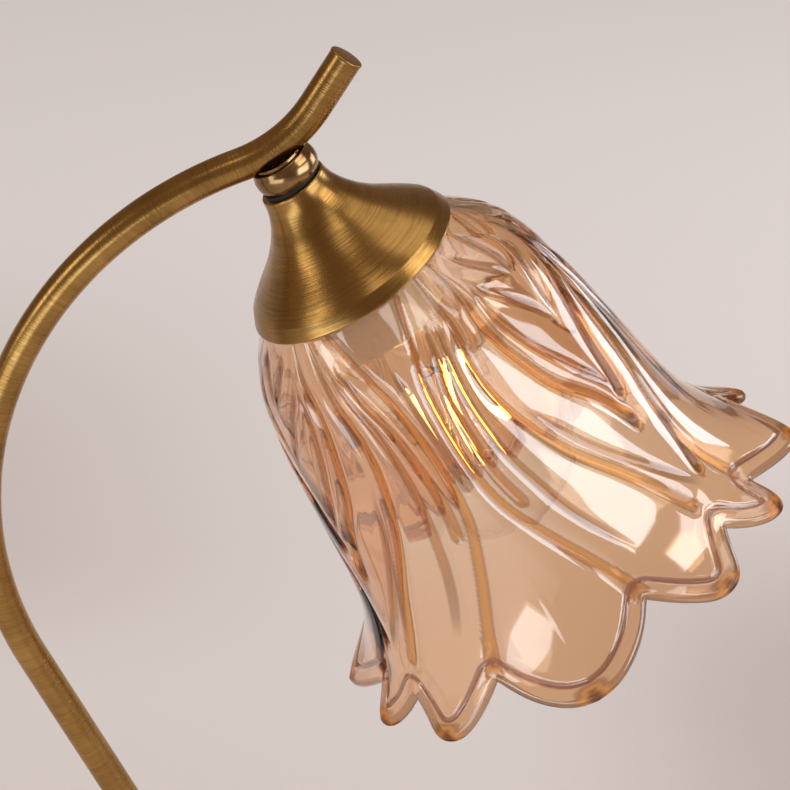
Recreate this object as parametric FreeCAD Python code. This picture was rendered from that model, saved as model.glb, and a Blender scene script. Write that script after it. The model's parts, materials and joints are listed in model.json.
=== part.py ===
import FreeCAD, Part

import math
import os

# Table lamp with a bent tube arm and a hanging glass flower shade.
# Millimetres. Origin at the centre of the underside of the base, +Z up.
# The arm lies in the XZ plane and the shade hangs towards +X.

# ---------------------------------------------------------------- arm tube
TUBE_OD = 10.0
TUBE_WALL = 1.0
FOOT_STRAIGHT = 20.5        # upright run between the base cover and the first bend
FOOT_BEND_R = 70.0
LEAN = 25.0                 # lean of the lower run away from upright, degrees
LOWER_RUN = 146.0
SWEEP_R = 121.0             # the big arc over the top
CREST_HEADING = 19.3        # rise of the tube where the big arc ends, degrees
TIP_BEND_R = 44.0
TIP_HEADING = 57.7          # rise of the upturned end, degrees
TIP_RUN = 16.2
END_CAP_T = 1.0
END_CAP_PROUD = 0.12
END_CAP_PLUG = 4.0
END_CAP_CHAMFER = 0.3

# ---------------------------------------------------------------- neck
HEAD_TILT = 32.0            # lean of the head's axis from straight down, degrees
COLLAR_MID_R = 10.15
COLLAR_RIM_R = 9.0
COLLAR_FOOT_R = 9.3
COLLAR_WALL = 0.7
COLLAR_WRAP = 1.4           # how far the collar's wall rises beside the tube
SLEEVE_GROOVE = 0.4         # groove between the collar's wall and its saddle sleeve
SLEEVE_GROOVE_DEPTH = 1.8
SLEEVE_WALL = 0.7
SLEEVE_WRAP = 2.4           # how far the saddle sleeve rises beside the tube
COLLAR_DROP = 5.9           # collar below the tube's underside
COLLAR_SEAT = 0.6           # how deep the tube sits in the collar's floor
NIPPLE_OD = 8.0
NIPPLE_BORE = 5.4
NIPPLE_LENGTH = 19.4
NIPPLE_CLEAR = 0.05         # radial play where the head turns in the collar
WIRE_HOLE_R = 2.7           # hole in the underside of the tube
SWIVEL_WASHER_R = 8.9
SWIVEL_WASHER_T = 1.1

# ---------------------------------------------------------------- cup
CUP_WALL = 1.2
CUP_FLARE = [(0.0, 10.35), (3.0, 10.75), (8.0, 12.6), (13.0, 15.7),
             (18.0, 20.0), (23.0, 25.6), (28.0, 31.3), (29.2, 32.5)]    # depth, radius
CUP_DEPTH = 33.4
CUP_RIM_R = 34.7
CUP_HOLE_CLEAR = 0.15
TOOTH_WASHER_R = 7.2
TOOTH_WASHER_T = 0.8
TOOTH_COUNT = 12
NUT_ACROSS_FLATS = 12.0
NUT_T = 4.0
NUT_CHAMFER_R = 0.7
NUT_CHAMFER_H = 0.5
NIPPLE_CHAMFER = 0.5

# ---------------------------------------------------------------- lamp holder
HOLDER_R = 19.5
HOLDER_CAP_NECK_R = 7.5
HOLDER_CAP_NECK_T = 7.0
HOLDER_DOME_T = 8.0
HOLDER_CAP_WALL = 2.0
HOLDER_FLANGE_R = 24.0
HOLDER_FLANGE_T = 1.8
HOLDER_LENGTH = 26.8        # body below the flange
HOLDER_SPIGOT_T = 5.7
HOLDER_FLOOR_T = 3.0        # floor of the bore, below the flange
HOLDER_FIT = 0.2
TERMINAL_SPACING = 18.0
TERMINAL_W = 6.0
TERMINAL_H = 3.4
TERMINAL_SCREW_R = 1.5
TERMINAL_SCREW_HEAD_T = 1.4
TERMINAL_SLOT_W = 0.6
TERMINAL_SLOT_DEPTH = 0.6
HOLDER_ROUND = 0.8          # chamfer at the holder's mouth
HOLDER_CAP_ROOF = 1.5       # thickness of the holder's cap at its neck
SCREW_SHELL_R = 13.25       # inside radius of the threaded shell
SCREW_SHELL_T = 0.6
SCREW_SHELL_LENGTH = 20.5
SCREW_SHELL_SETBACK = 1.2   # from the mouth of the holder
CONTACT_R = 4.0
CONTACT_T = 0.6

# ---------------------------------------------------------------- glass shade
SHADE_TUCK = 4.4            # glass above the cup's rim
SHADE_WALL = 3.2
SHADE_HOLE_CLEAR = 0.7
SHADE_MERIDIAN = [(0.0, 27.0), (2.0, 30.2), (4.4, 32.7), (11.0, 38.8), (19.0, 45.0),
                  (31.0, 49.4), (47.0, 52.8), (64.0, 55.3), (84.0, 57.8),
                  (104.0, 62.0), (113.0, 65.8), (119.0, 69.2), (124.0, 73.8),
                  (128.3, 79.6), (131.5, 84.6)]                         # drop, radius
# One quarter of the scalloped rim, from the middle of the broad petal round to the
# middle of the side petal: angle in degrees, drop of the edge below the glass's top.
RIM_TIPS = [(0.0, 128.3), (39.0, 128.2), (63.4, 128.6), (90.0, 130.8)]
RIM_NOTCHES = [(22.8, 117.4), (52.1, 120.4), (69.7, 121.6)]
RIM_BULGE = 0.16            # bow of each petal's edge, as a share of its chord
FACING = 3.0                # turn of the broad petal from the arm's plane normal, degrees
CUTTER_PAST = 8.0           # notch cutters beyond the petal tips
CUTTER_BELOW = 10.0         # notch cutters below the lowest tip
GASKET_T = 0.8
GASKET_W = 4.0
RING_FLANGE_R = 26.0
RING_FLANGE_T = 1.8
RING_SLEEVE_R = 22.2
RING_SLEEVE_T = 5.0
RING_CLEAR = 0.1

# ---------------------------------------------------------------- bulb
BULB_R = 30.0
BULB_LENGTH = 105.0
BULB_GLASS_T = 0.9
BULB_NECK_R = 12.0
BULB_NECK_BLEND_R = 40.0
BULB_NECK_SEAT = 3.0        # length of the glass neck inside the cap
BULB_CAP_LENGTH = 22.0
BULB_CAP_CLEAR = 0.1
BULB_CAP_T = 0.4
BULB_TIP_R = 4.7
BULB_TIP_T = 1.0
BULB_TIP_GAP = 0.2
BULB_TIP_BEVEL = 1.5
BULB_INSULATOR_T = 3.5
BULB_INSULATOR_R = 5.3
BULB_CAP_TAPER_R = 2.6      # how far the cap's top narrows
BULB_CAP_TAPER_H = 2.2
STEM_R = 2.4
STEM_LENGTH = 22.0
STEM_FLARE_CLEAR = 0.1      # the stem's flare inside the bulb's neck
STEM_FLARE_T = 1.5
STEM_TAPER = 4.0            # length of each of the stem's tapers
STEM_SEAT = 2.0             # stem's flare above the cap's foot
FILAMENT_R = 0.8
FILAMENT_LENGTH = 34.0
FILAMENT_CIRCLE_R = 8.0
FILAMENT_COUNT = 4
SUPPORT_R = 0.35
SUPPORT_LEAD = 1.5          # centre wire between the stem and the first arms
FILAMENT_TURN = 45.0        # first filament, degrees

# ---------------------------------------------------------------- base
BASE_R = 75.0
FELT_T = 2.0
FELT_INSET = 4.0
PLATE_T = 1.5
PLATE_CLEAR = 0.3
COVER_WALL = 1.2
COVER_LIFT = 1.0            # cover's lower edge above the table
SKIRT_H = 13.0              # upright side of the cover
SHOULDER_R = 4.0
STEP_R = 58.0               # foot of the raised dome
STEP_H = 1.6
BOSS_R = 17.0
COVER_H = 25.5              # top of the cover above the table
WEIGHT_TOP_GAP = 0.3        # between the weight and the cover
WEIGHT_CLEAR = 2.0
NUT_WELL_R = 13.0
NUT_WELL_DEPTH = 10.0
LEAD_CHANNEL_W = 6.0
LEAD_CHANNEL_H = 6.0
BLOCK_SIZE = (24.0, 16.0, 10.0)
BLOCK_INSET = 37.0          # terminal block in from the base's edge
BLOCK_CLEAR = 1.5
BLOCK_BORE_R = 1.6
BLOCK_WELL_R = 2.2
BLOCK_WELL_LIFT = 2.0       # floor of the screw wells above the wires
BLOCK_SCREW_T = 3.5
BLOCK_SLOT_W = 0.7
BLOCK_SLOT_DEPTH = 0.8
CORD_CHANNEL_W = 16.0
STUD_BORE = 6.0
STUD_GRIP = 14.0            # length of the stud inside the tube
STUD_LIFT = 4.0             # stud's lower end above the base plate
BASE_WASHER_R = 11.0
BASE_WASHER_T = 1.2
BASE_NUT_FLATS = 13.0
BASE_NUT_T = 4.2
SPACER_R = 9.0
FERRULE_R = 14.0
FERRULE_TOP_R = 7.4
FERRULE_H = 13.0
FERRULE_FOOT_H = 2.4        # upright foot band
FERRULE_FOOT_STEP = 1.5
FERRULE_SHOULDER_H = 3.5
FERRULE_DIP = (1.1, 5.6)    # waist of the ogee: beyond the top's radius, height
FERRULE_BEAD = 0.8
FERRULE_BEAD_H = 3.0
WEIGHT_BEVEL_R = 4.0
WEIGHT_BEVEL_H = 6.0
STEP_LIFT = 0.4             # rise of the deck up to the step
DOME_BOW = 0.62             # height of the dome half way in, as a share of its rise
FIT = 0.05                  # radial play of plain fixed fits
PLATE_SCREW_R = 2.0
PLATE_SCREW_HEAD_R = 3.9
PLATE_SCREW_LENGTH = 10.0
PLATE_SCREW_CIRCLE_R = 56.0
PLATE_SCREW_COUNT = 3
PLATE_SLOT_W = 1.0
PLATE_SLOT_DEPTH = 0.7
INLET_LIFT = 0.5            # inlet's body above the base plate
INLET_BORE_R = 3.3
INLET_BODY_R = 4.8
INLET_FLANGE_R = 6.0
INLET_FLANGE_T = 1.5
INLET_CHAMFER = 0.5
INLET_LENGTH = 8.0

# ---------------------------------------------------------------- leads
LEAD_D = 3.4
LEAD_FOOT_BEND_R = 5.0
LEAD_HEAD_BEND_R = 5.0
LEAD_END_GAP = 0.3
CORE_D = 1.8
CORE_SPACING = 2.2
CORE_BEND_R = 2.5
CORE_STRAIGHT = 1.0         # straight ends of each wire
LEAD_LIFT = 0.4             # lead above the base plate

# ---------------------------------------------------------------- worked out
TUBE_R = TUBE_OD / 2
TUBE_BORE_R = TUBE_R - TUBE_WALL
COLLAR_RIM_H = TUBE_R - COLLAR_WRAP
SLEEVE_TOP_H = TUBE_R - SLEEVE_WRAP
COLLAR_FOOT_H = TUBE_R + COLLAR_DROP
NIPPLE_R = NIPPLE_OD / 2
NIPPLE_TOP_H = TUBE_R + 0.3
CUP_TOP_H = COLLAR_FOOT_H + SWIVEL_WASHER_T
CUP_RIM_H = CUP_TOP_H + CUP_DEPTH
TOOTH_TOP_H = CUP_TOP_H + CUP_WALL
NUT_TOP_H = TOOTH_TOP_H + TOOTH_WASHER_T
HOLDER_TOP_H = NUT_TOP_H + NUT_T
SHADE_TOP_H = CUP_RIM_H - SHADE_TUCK
FLANGE_FOOT_H = SHADE_TOP_H - GASKET_T
HOLDER_MOUTH_H = FLANGE_FOOT_H + HOLDER_LENGTH
HOLDER_FLOOR_H = FLANGE_FOOT_H + HOLDER_FLOOR_T
HOLDER_BORE_R = SCREW_SHELL_R + SCREW_SHELL_T + FIT
SPIGOT_TOP_H = FLANGE_FOOT_H - HOLDER_SPIGOT_T
SHADE_HOLE_R = HOLDER_R + SHADE_HOLE_CLEAR
RING_TOP_H = SHADE_TOP_H + SHADE_WALL
NIPPLE_FOOT_H = NIPPLE_TOP_H + NIPPLE_LENGTH
BULB_TOP_H = HOLDER_FLOOR_H + CONTACT_T + BULB_TIP_GAP
BULB_SHELL_TOP_H = BULB_TOP_H + BULB_TIP_T + BULB_INSULATOR_T
BULB_SHELL_FOOT_H = BULB_TOP_H + BULB_CAP_LENGTH
BULB_CENTRE_H = BULB_TOP_H + BULB_LENGTH - BULB_R
BULB_SHELL_R = SCREW_SHELL_R - BULB_CAP_CLEAR
STEM_FLARE_R = BULB_NECK_R - BULB_GLASS_T - STEM_FLARE_CLEAR
BLOCK_X = BLOCK_INSET - BASE_R
PLATE_Z = FELT_T
WEIGHT_Z = PLATE_Z + PLATE_T
WEIGHT_TOP_Z = COVER_LIFT + SKIRT_H + SHOULDER_R - COVER_WALL - WEIGHT_TOP_GAP
WELL_TOP_Z = WEIGHT_Z + NUT_WELL_DEPTH
STUD_FOOT_Z = WEIGHT_Z + STUD_LIFT
STUD_R = TUBE_BORE_R          # the stud is brazed into the tube's bore
LEAD_Z = WEIGHT_Z + LEAD_D / 2 + LEAD_LIFT
INLET_Z = WEIGHT_Z + INLET_LIFT + INLET_BODY_R


def vec(x, y, z):
    """A point or direction."""
    return FreeCAD.Vector(x, y, z)


Z_AXIS = vec(0, 0, 1)
ORIGIN = vec(0, 0, 0)


class Route:
    """A path of straight runs and tangent arcs in the XZ plane."""

    def __init__(self, x, z, heading):
        """Start at (x, z), facing heading degrees above +X."""
        self.x, self.z, self.heading = x, z, heading
        self.edges = []

    def point(self):
        """Where the path has come to."""
        return vec(self.x, 0, self.z)

    def ahead(self, length):
        """Add a straight run."""
        start = self.point()
        self.x += length * math.cos(math.radians(self.heading))
        self.z += length * math.sin(math.radians(self.heading))
        self.edges.append(Part.LineSegment(start, self.point()).toShape())
        return self

    def bend(self, radius, angle):
        """Add a tangent arc that turns left for a positive angle, in degrees."""
        side = math.copysign(1, angle)
        facing = math.radians(self.heading)
        centre_x = self.x - side * radius * math.sin(facing)
        centre_z = self.z + side * radius * math.cos(facing)
        stops = []
        for share in (0, 0.5, 1):
            turned = math.radians(self.heading + angle * share)
            stops.append(vec(centre_x + side * radius * math.sin(turned), 0,
                             centre_z - side * radius * math.cos(turned)))
        self.edges.append(Part.Arc(*stops).toShape())
        self.x, self.z = stops[2].x, stops[2].z
        self.heading += angle
        return self

    def tube(self, radius):
        """A round bar along the whole path."""
        first = self.edges[0]
        start = first.valueAt(first.FirstParameter)
        facing = first.tangentAt(first.FirstParameter)
        section = Part.Face(Part.Wire(Part.Circle(start, facing, radius).toShape()))
        return Part.Wire(self.edges).makePipe(section)


def rod(radius, low, high):
    """A plain cylinder on the Z axis."""
    return Part.makeCylinder(radius, high - low, vec(0, 0, low))


def bush(outer, inner, low, high):
    """A cylinder with a bore right through it."""
    return rod(outer, low, high).cut(rod(inner, low - 1, high + 1))


def turned(points):
    """A solid turned round the Z axis from straight-sided (radius, height) points."""
    corners = [vec(r, 0, z) for r, z in points]
    return Part.Face(Part.makePolygon(corners + corners[:1])).revolve(ORIGIN, Z_AXIS, 360)


def turned_edges(edges):
    """A solid turned round the Z axis from a closed chain of edges."""
    return Part.Face(Part.Wire(edges)).revolve(ORIGIN, Z_AXIS, 360)


def line(start, end):
    """A straight edge between two points."""
    return Part.LineSegment(start, end).toShape()


def hexagon(across_flats, bore_r, low, high):
    """A plain hexagon nut on the Z axis."""
    corner_r = across_flats / math.sqrt(3)
    ring = [vec(corner_r * math.cos(math.radians(60 * k)),
                corner_r * math.sin(math.radians(60 * k)), low) for k in range(6)]
    block = Part.Face(Part.makePolygon(ring + ring[:1])).extrude(vec(0, 0, high - low))
    flat_r = corner_r - NUT_CHAMFER_R
    crown = turned([(0, low), (flat_r, low), (corner_r, low + NUT_CHAMFER_H),
                    (corner_r, high - NUT_CHAMFER_H), (flat_r, high), (0, high)])
    return block.common(crown).cut(rod(bore_r, low - 1, high + 1))


def meridian(points, wall):
    """Outer and inner curves of a turned shell.

    The points are (radius, height); the inner curve lies a wall's thickness
    inside the outer one, measured square to it.
    """
    outer = Part.BSplineCurve()
    outer.interpolate([vec(r, 0, z) for r, z in points])
    inset = []
    for r, z in points:
        along = outer.tangent(outer.parameter(vec(r, 0, z)))[0]
        inset.append(vec(r - wall * abs(along.z), 0, z + wall * abs(along.x)))
    inner = Part.BSplineCurve()
    inner.interpolate(inset)
    return outer.toShape(), inner.toShape()


def arm_route():
    """Centreline of the arm from its foot to its upturned end."""
    route = Route(0, COVER_H, 90)
    route.ahead(FOOT_STRAIGHT).bend(FOOT_BEND_R, LEAN).ahead(LOWER_RUN)
    route.bend(SWEEP_R, CREST_HEADING - 90 - LEAN)
    return route


def joint_point():
    """Where the head's axis meets the tube's centreline."""
    route = arm_route().bend(TIP_BEND_R, HEAD_TILT - CREST_HEADING)
    return route.point()


def to_head(shape):
    """Place a shape made along +Z, from the tube's centreline, on the head's axis."""
    placed = shape.copy()
    placed.rotate(ORIGIN, vec(0, 1, 0), 180 - HEAD_TILT)
    placed.translate(joint_point())
    return placed


# ---------------------------------------------------------------- the arm's pieces
def whole_arm_route():
    """The arm's centreline to the tip."""
    return arm_route().bend(TIP_BEND_R, TIP_HEADING - CREST_HEADING).ahead(TIP_RUN)


def arm_tube():
    """The bent tube with the wire hole in its underside."""
    shell = whole_arm_route().tube(TUBE_R).cut(whole_arm_route().tube(TUBE_BORE_R))
    return shell.cut(to_head(rod(WIRE_HOLE_R, 0, TUBE_OD)))


def arm_end_cap():
    """Flat disc with a plug that closes the tip of the tube."""
    end = whole_arm_route()
    disc_r = TUBE_R + END_CAP_PROUD
    cap = turned([(0, -END_CAP_PLUG), (TUBE_BORE_R - FIT, -END_CAP_PLUG), (TUBE_BORE_R - FIT, 0),
                  (disc_r, 0), (disc_r, END_CAP_T - END_CAP_CHAMFER),
                  (disc_r - END_CAP_CHAMFER, END_CAP_T), (0, END_CAP_T)])
    cap.rotate(ORIGIN, vec(0, 1, 0), 90 - end.heading)
    cap.translate(end.point())
    return cap


def neck_collar():
    """Barrel under the tube with a thin saddle sleeve inside its wall."""
    floor_h = TUBE_R - COLLAR_SEAT
    bore_r = COLLAR_RIM_R - COLLAR_WALL
    sleeve_r = bore_r - SLEEVE_GROOVE
    groove_h = COLLAR_RIM_H + SLEEVE_GROOVE_DEPTH
    mid_h = (COLLAR_RIM_H + COLLAR_FOOT_H) / 2
    rim, belly = vec(COLLAR_RIM_R, 0, COLLAR_RIM_H), vec(COLLAR_MID_R, 0, mid_h)
    foot = vec(COLLAR_FOOT_R, 0, COLLAR_FOOT_H)
    stops = [foot, vec(NIPPLE_R + NIPPLE_CLEAR, 0, COLLAR_FOOT_H),
             vec(NIPPLE_R + NIPPLE_CLEAR, 0, floor_h),
             vec(sleeve_r - SLEEVE_WALL, 0, floor_h), vec(sleeve_r - SLEEVE_WALL, 0, SLEEVE_TOP_H),
             vec(sleeve_r, 0, SLEEVE_TOP_H), vec(sleeve_r, 0, groove_h),
             vec(bore_r, 0, groove_h), vec(bore_r, 0, COLLAR_RIM_H), rim]
    edges = [Part.Arc(rim, belly, foot).toShape()]
    edges += [line(a, b) for a, b in zip(stops, stops[1:])]
    barrel = to_head(turned_edges(edges))
    return barrel.cut(whole_arm_route().tube(TUBE_R + FIT))


def arm_lead():
    """Two-core lead from the terminal block up the tube and into the head."""
    block_end = BLOCK_X + BLOCK_SIZE[0] / 2
    route = Route(block_end, LEAD_Z, 0)
    route.ahead(-block_end - LEAD_FOOT_BEND_R).bend(LEAD_FOOT_BEND_R, 90)
    route.ahead(COVER_H + FOOT_STRAIGHT - route.z)
    route.bend(FOOT_BEND_R, LEAN).ahead(LOWER_RUN)
    route.bend(SWEEP_R, CREST_HEADING - 90 - LEAN)
    reach = TIP_BEND_R + LEAD_HEAD_BEND_R
    early = math.degrees(math.asin(LEAD_HEAD_BEND_R / reach))
    route.bend(TIP_BEND_R, HEAD_TILT - early - CREST_HEADING)
    route.bend(LEAD_HEAD_BEND_R, early - 90)
    bend_foot_h = reach * math.cos(math.radians(early)) - TIP_BEND_R
    route.ahead(NIPPLE_FOOT_H - bend_foot_h)
    return route.tube(LEAD_D / 2)


# ---------------------------------------------------------------- the head's pieces
def swivel_washer():
    """Black friction washer between the collar and the cup."""
    return to_head(bush(SWIVEL_WASHER_R, NIPPLE_R + FIT, COLLAR_FOOT_H, CUP_TOP_H))


def neck_nipple():
    """Hollow threaded pin that turns in the collar and carries the head."""
    end_r = NIPPLE_R - NIPPLE_CHAMFER
    pin = turned([(NIPPLE_BORE / 2, NIPPLE_TOP_H), (end_r, NIPPLE_TOP_H),
                  (NIPPLE_R, NIPPLE_TOP_H + NIPPLE_CHAMFER),
                  (NIPPLE_R, NIPPLE_FOOT_H - NIPPLE_CHAMFER),
                  (end_r, NIPPLE_FOOT_H), (NIPPLE_BORE / 2, NIPPLE_FOOT_H)])
    return to_head(pin)


def holder_cup():
    """Flared brass cup with a narrow band at its rim."""
    points = [(r, CUP_TOP_H + depth) for depth, r in CUP_FLARE]
    outer, inner = meridian(points, CUP_WALL)
    hole_r = NIPPLE_R + CUP_HOLE_CLEAR
    floor_h = CUP_TOP_H + CUP_WALL
    flare_in = [inner.valueAt(inner.FirstParameter), inner.valueAt(inner.LastParameter)]
    rim_in = vec(CUP_RIM_R - CUP_WALL, 0, CUP_RIM_H)
    flare_foot = vec(points[-1][0], 0, points[-1][1])
    stops = [flare_foot, vec(CUP_RIM_R, 0, CUP_RIM_H), rim_in, flare_in[1]]
    edges = [outer] + [line(a, b) for a, b in zip(stops, stops[1:])] + [inner]
    top = [flare_in[0], vec(flare_in[0].x, 0, floor_h), vec(hole_r, 0, floor_h),
           vec(hole_r, 0, CUP_TOP_H), vec(points[0][0], 0, CUP_TOP_H)]
    edges += [line(a, b) for a, b in zip(top, top[1:]) if (a - b).Length > 1e-6]
    return to_head(turned_edges(edges))


def tooth_washer():
    """Lock washer with teeth round its edge, under the cup's top."""
    blank = bush(TOOTH_WASHER_R, NIPPLE_R + FIT, TOOTH_TOP_H, NUT_TOP_H)
    gap_r = TOOTH_WASHER_R * math.sin(math.pi / TOOTH_COUNT) / 2
    for k in range(TOOTH_COUNT):
        gap = Part.makeCylinder(gap_r, TOOTH_WASHER_T + 2, vec(TOOTH_WASHER_R, 0, TOOTH_TOP_H - 1))
        gap.rotate(ORIGIN, Z_AXIS, 360 / TOOTH_COUNT * k)
        blank = blank.cut(gap)
    return to_head(blank)


def cup_nut():
    """Hexagon nut that clamps the cup on the nipple."""
    return to_head(hexagon(NUT_ACROSS_FLATS, NIPPLE_R + FIT, NUT_TOP_H, HOLDER_TOP_H))


def holder_cap():
    """Domed upper half of the lamp holder, with the flange above the glass."""
    neck_h = HOLDER_TOP_H + HOLDER_CAP_NECK_T
    dome_h = neck_h + HOLDER_DOME_T
    flange_h = FLANGE_FOOT_H - HOLDER_FLANGE_T
    room_r = HOLDER_R - HOLDER_CAP_WALL
    bore_r = NIPPLE_R + FIT
    outside = [(bore_r, HOLDER_TOP_H), (HOLDER_CAP_NECK_R, HOLDER_TOP_H),
               (HOLDER_CAP_NECK_R, neck_h), (HOLDER_R, dome_h), (HOLDER_R, flange_h),
               (HOLDER_FLANGE_R, flange_h), (HOLDER_FLANGE_R, FLANGE_FOOT_H)]
    roof_h = neck_h + HOLDER_CAP_ROOF
    inside = [(room_r, FLANGE_FOOT_H), (room_r, dome_h + 1), (HOLDER_CAP_NECK_R, roof_h),
              (bore_r, roof_h)]
    return to_head(turned(outside + inside))


def holder_body():
    """Insulating body of the lamp holder."""
    spigot_r = HOLDER_R - HOLDER_CAP_WALL - HOLDER_FIT
    body = turned([(0, SPIGOT_TOP_H), (spigot_r, SPIGOT_TOP_H), (spigot_r, FLANGE_FOOT_H),
                   (HOLDER_R, FLANGE_FOOT_H), (HOLDER_R, HOLDER_MOUTH_H - HOLDER_ROUND),
                   (HOLDER_R - HOLDER_ROUND, HOLDER_MOUTH_H), (HOLDER_BORE_R, HOLDER_MOUTH_H),
                   (HOLDER_BORE_R, HOLDER_FLOOR_H), (0, HOLDER_FLOOR_H)])
    return to_head(body)


def terminal_places():
    """The two terminals' distances from the head's axis."""
    return (-TERMINAL_SPACING / 2, TERMINAL_SPACING / 2)


def holder_terminals():
    """Two brass terminals on top of the holder's body, each with a wire hole."""
    blocks = []
    for x in terminal_places():
        block = Part.makeBox(TERMINAL_W, TERMINAL_W, TERMINAL_H,
                             vec(x - TERMINAL_W / 2, -TERMINAL_W / 2, SPIGOT_TOP_H - TERMINAL_H))
        screw_hole = Part.makeCylinder(TERMINAL_SCREW_R + FIT, TERMINAL_W,
                                       vec(x, 0, SPIGOT_TOP_H - TERMINAL_H / 2), vec(0, 1, 0))
        blocks.append(block.cut(screw_hole))
    return to_head(Part.makeCompound(blocks))


def terminal_screws():
    """Two slotted screws, one in the side of each terminal."""
    screws = []
    head_r = TERMINAL_H / 2
    for x in terminal_places():
        axis_h = SPIGOT_TOP_H - TERMINAL_H / 2
        shank = Part.makeCylinder(TERMINAL_SCREW_R, TERMINAL_W / 2, vec(x, 0, axis_h), vec(0, 1, 0))
        head = Part.makeCylinder(head_r, TERMINAL_SCREW_HEAD_T, vec(x, TERMINAL_W / 2, axis_h),
                                 vec(0, 1, 0))
        slot_y = TERMINAL_W / 2 + TERMINAL_SCREW_HEAD_T - TERMINAL_SLOT_DEPTH
        slot = Part.makeBox(2 * head_r, 1, TERMINAL_SLOT_W,
                            vec(x - head_r, slot_y, axis_h - TERMINAL_SLOT_W / 2))
        screws.append(shank.fuse(head).cut(slot).removeSplitter())
    return to_head(Part.makeCompound(screws))


def holder_cores():
    """Two single wires from the end of the lead to the terminals."""
    start_h = NIPPLE_FOOT_H + LEAD_END_GAP
    cores = []
    for x in terminal_places():
        side = math.copysign(1, x)
        run = abs(x) - CORE_SPACING / 2
        fall = SPIGOT_TOP_H - TERMINAL_H - start_h - 2 * CORE_STRAIGHT
        turn = math.degrees(math.atan2(run, fall)) * -side
        lost = CORE_BEND_R * math.tan(math.radians(abs(turn)) / 2)
        route = Route(side * CORE_SPACING / 2, start_h, 90).ahead(CORE_STRAIGHT)
        route.bend(CORE_BEND_R, turn).ahead(math.hypot(run, fall) - 2 * lost)
        route.bend(CORE_BEND_R, -turn)
        route.ahead(SPIGOT_TOP_H - TERMINAL_H - route.z)
        cores.append(route.tube(CORE_D / 2))
    return to_head(Part.makeCompound(cores))


def screw_shell():
    """Threaded brass shell that takes the bulb's cap."""
    foot_h = HOLDER_MOUTH_H - SCREW_SHELL_SETBACK
    return to_head(bush(SCREW_SHELL_R + SCREW_SHELL_T, SCREW_SHELL_R,
                        foot_h - SCREW_SHELL_LENGTH, foot_h))


def centre_contact():
    """Round contact on the floor of the holder."""
    return to_head(rod(CONTACT_R, HOLDER_FLOOR_H, HOLDER_FLOOR_H + CONTACT_T))


def shade_gasket():
    """Soft ring between the holder's flange and the glass."""
    return to_head(bush(SHADE_HOLE_R + GASKET_W, SHADE_HOLE_R, FLANGE_FOOT_H, SHADE_TOP_H))


def shade_ring():
    """Flanged ring screwed up the holder to clamp the glass."""
    flange_h = RING_TOP_H + RING_FLANGE_T
    ring = turned([(HOLDER_R + RING_CLEAR, RING_TOP_H), (RING_FLANGE_R, RING_TOP_H),
                   (RING_FLANGE_R, flange_h), (RING_SLEEVE_R, flange_h),
                   (RING_SLEEVE_R, flange_h + RING_SLEEVE_T),
                   (HOLDER_R + RING_CLEAR, flange_h + RING_SLEEVE_T)])
    return to_head(ring)


def rim_radius(drop):
    """Radius of the glass at a drop below its top, by straight steps."""
    for (high, r_high), (low, r_low) in zip(SHADE_MERIDIAN, SHADE_MERIDIAN[1:]):
        if drop <= low:
            return r_high + (r_low - r_high) * (drop - high) / (low - high)
    return SHADE_MERIDIAN[-1][1]


def bowed(start, end, side):
    """An edge from start to end that bows to one side by RIM_BULGE."""
    chord = end - start
    bow = vec(-chord.z, 0, chord.x) * (side * RIM_BULGE)
    return Part.Arc(start, (start + end) * 0.5 + bow, end).toShape()


def notch_cutter(notch, left_tip, right_tip):
    """Wedge that cuts one notch and the petal edges on both its sides.

    Args are (angle, drop) pairs; the wedge faces along +X before it is turned.
    """
    angle, notch_drop = notch
    deep = SHADE_TOP_H + SHADE_MERIDIAN[-1][0] + CUTTER_BELOW
    root = vec(0, 0, SHADE_TOP_H + notch_drop)
    tips = []
    for tip_angle, tip_drop in (left_tip, right_tip):
        reach = rim_radius(tip_drop) * math.sin(math.radians(tip_angle - angle))
        tips.append(vec(reach, 0, SHADE_TOP_H + tip_drop))
    left, right = tips
    edges = [bowed(left, root, 1), bowed(root, right, 1)]
    aside = vec(CUTTER_PAST, 0, 0)
    stops = [right, right + aside, vec(right.x + CUTTER_PAST, 0, deep),
             vec(left.x - CUTTER_PAST, 0, deep), left - aside, left]
    edges += [line(a, b) for a, b in zip(stops, stops[1:])]
    wedge = Part.Face(Part.Wire(edges)).extrude(vec(0, -2 * SHADE_MERIDIAN[-1][1], 0))
    wedge.rotate(ORIGIN, Z_AXIS, angle)
    return wedge


def glass_shade():
    """Pressed glass bell with a flared rim cut into twelve petals."""
    outer, inner = meridian([(r, SHADE_TOP_H + drop) for drop, r in SHADE_MERIDIAN], SHADE_WALL)
    ends = [curve.valueAt(share) for curve in (outer, inner)
            for share in (curve.FirstParameter, curve.LastParameter)]
    outer_top, outer_foot, inner_top, inner_foot = ends
    under_h = SHADE_TOP_H + SHADE_WALL
    neck = [inner_top, vec(inner_top.x, 0, under_h), vec(SHADE_HOLE_R, 0, under_h),
            vec(SHADE_HOLE_R, 0, SHADE_TOP_H), outer_top]
    edges = [outer, line(outer_foot, inner_foot), inner]
    edges += [line(a, b) for a, b in zip(neck, neck[1:]) if (a - b).Length > 1e-6]
    bell = turned_edges(edges)
    for half in (0, 180):
        for mirror in (1, -1):
            for k, notch in enumerate(RIM_NOTCHES):
                trio = [(mirror * angle, drop) for angle, drop in
                        (notch, RIM_TIPS[k], RIM_TIPS[k + 1])]
                if mirror < 0:
                    trio[1], trio[2] = trio[2], trio[1]
                cutter = notch_cutter(*trio)
                cutter.rotate(ORIGIN, Z_AXIS, half)
                bell = bell.cut(cutter)
    bell.rotate(ORIGIN, Z_AXIS, FACING)
    return to_head(bell)


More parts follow.
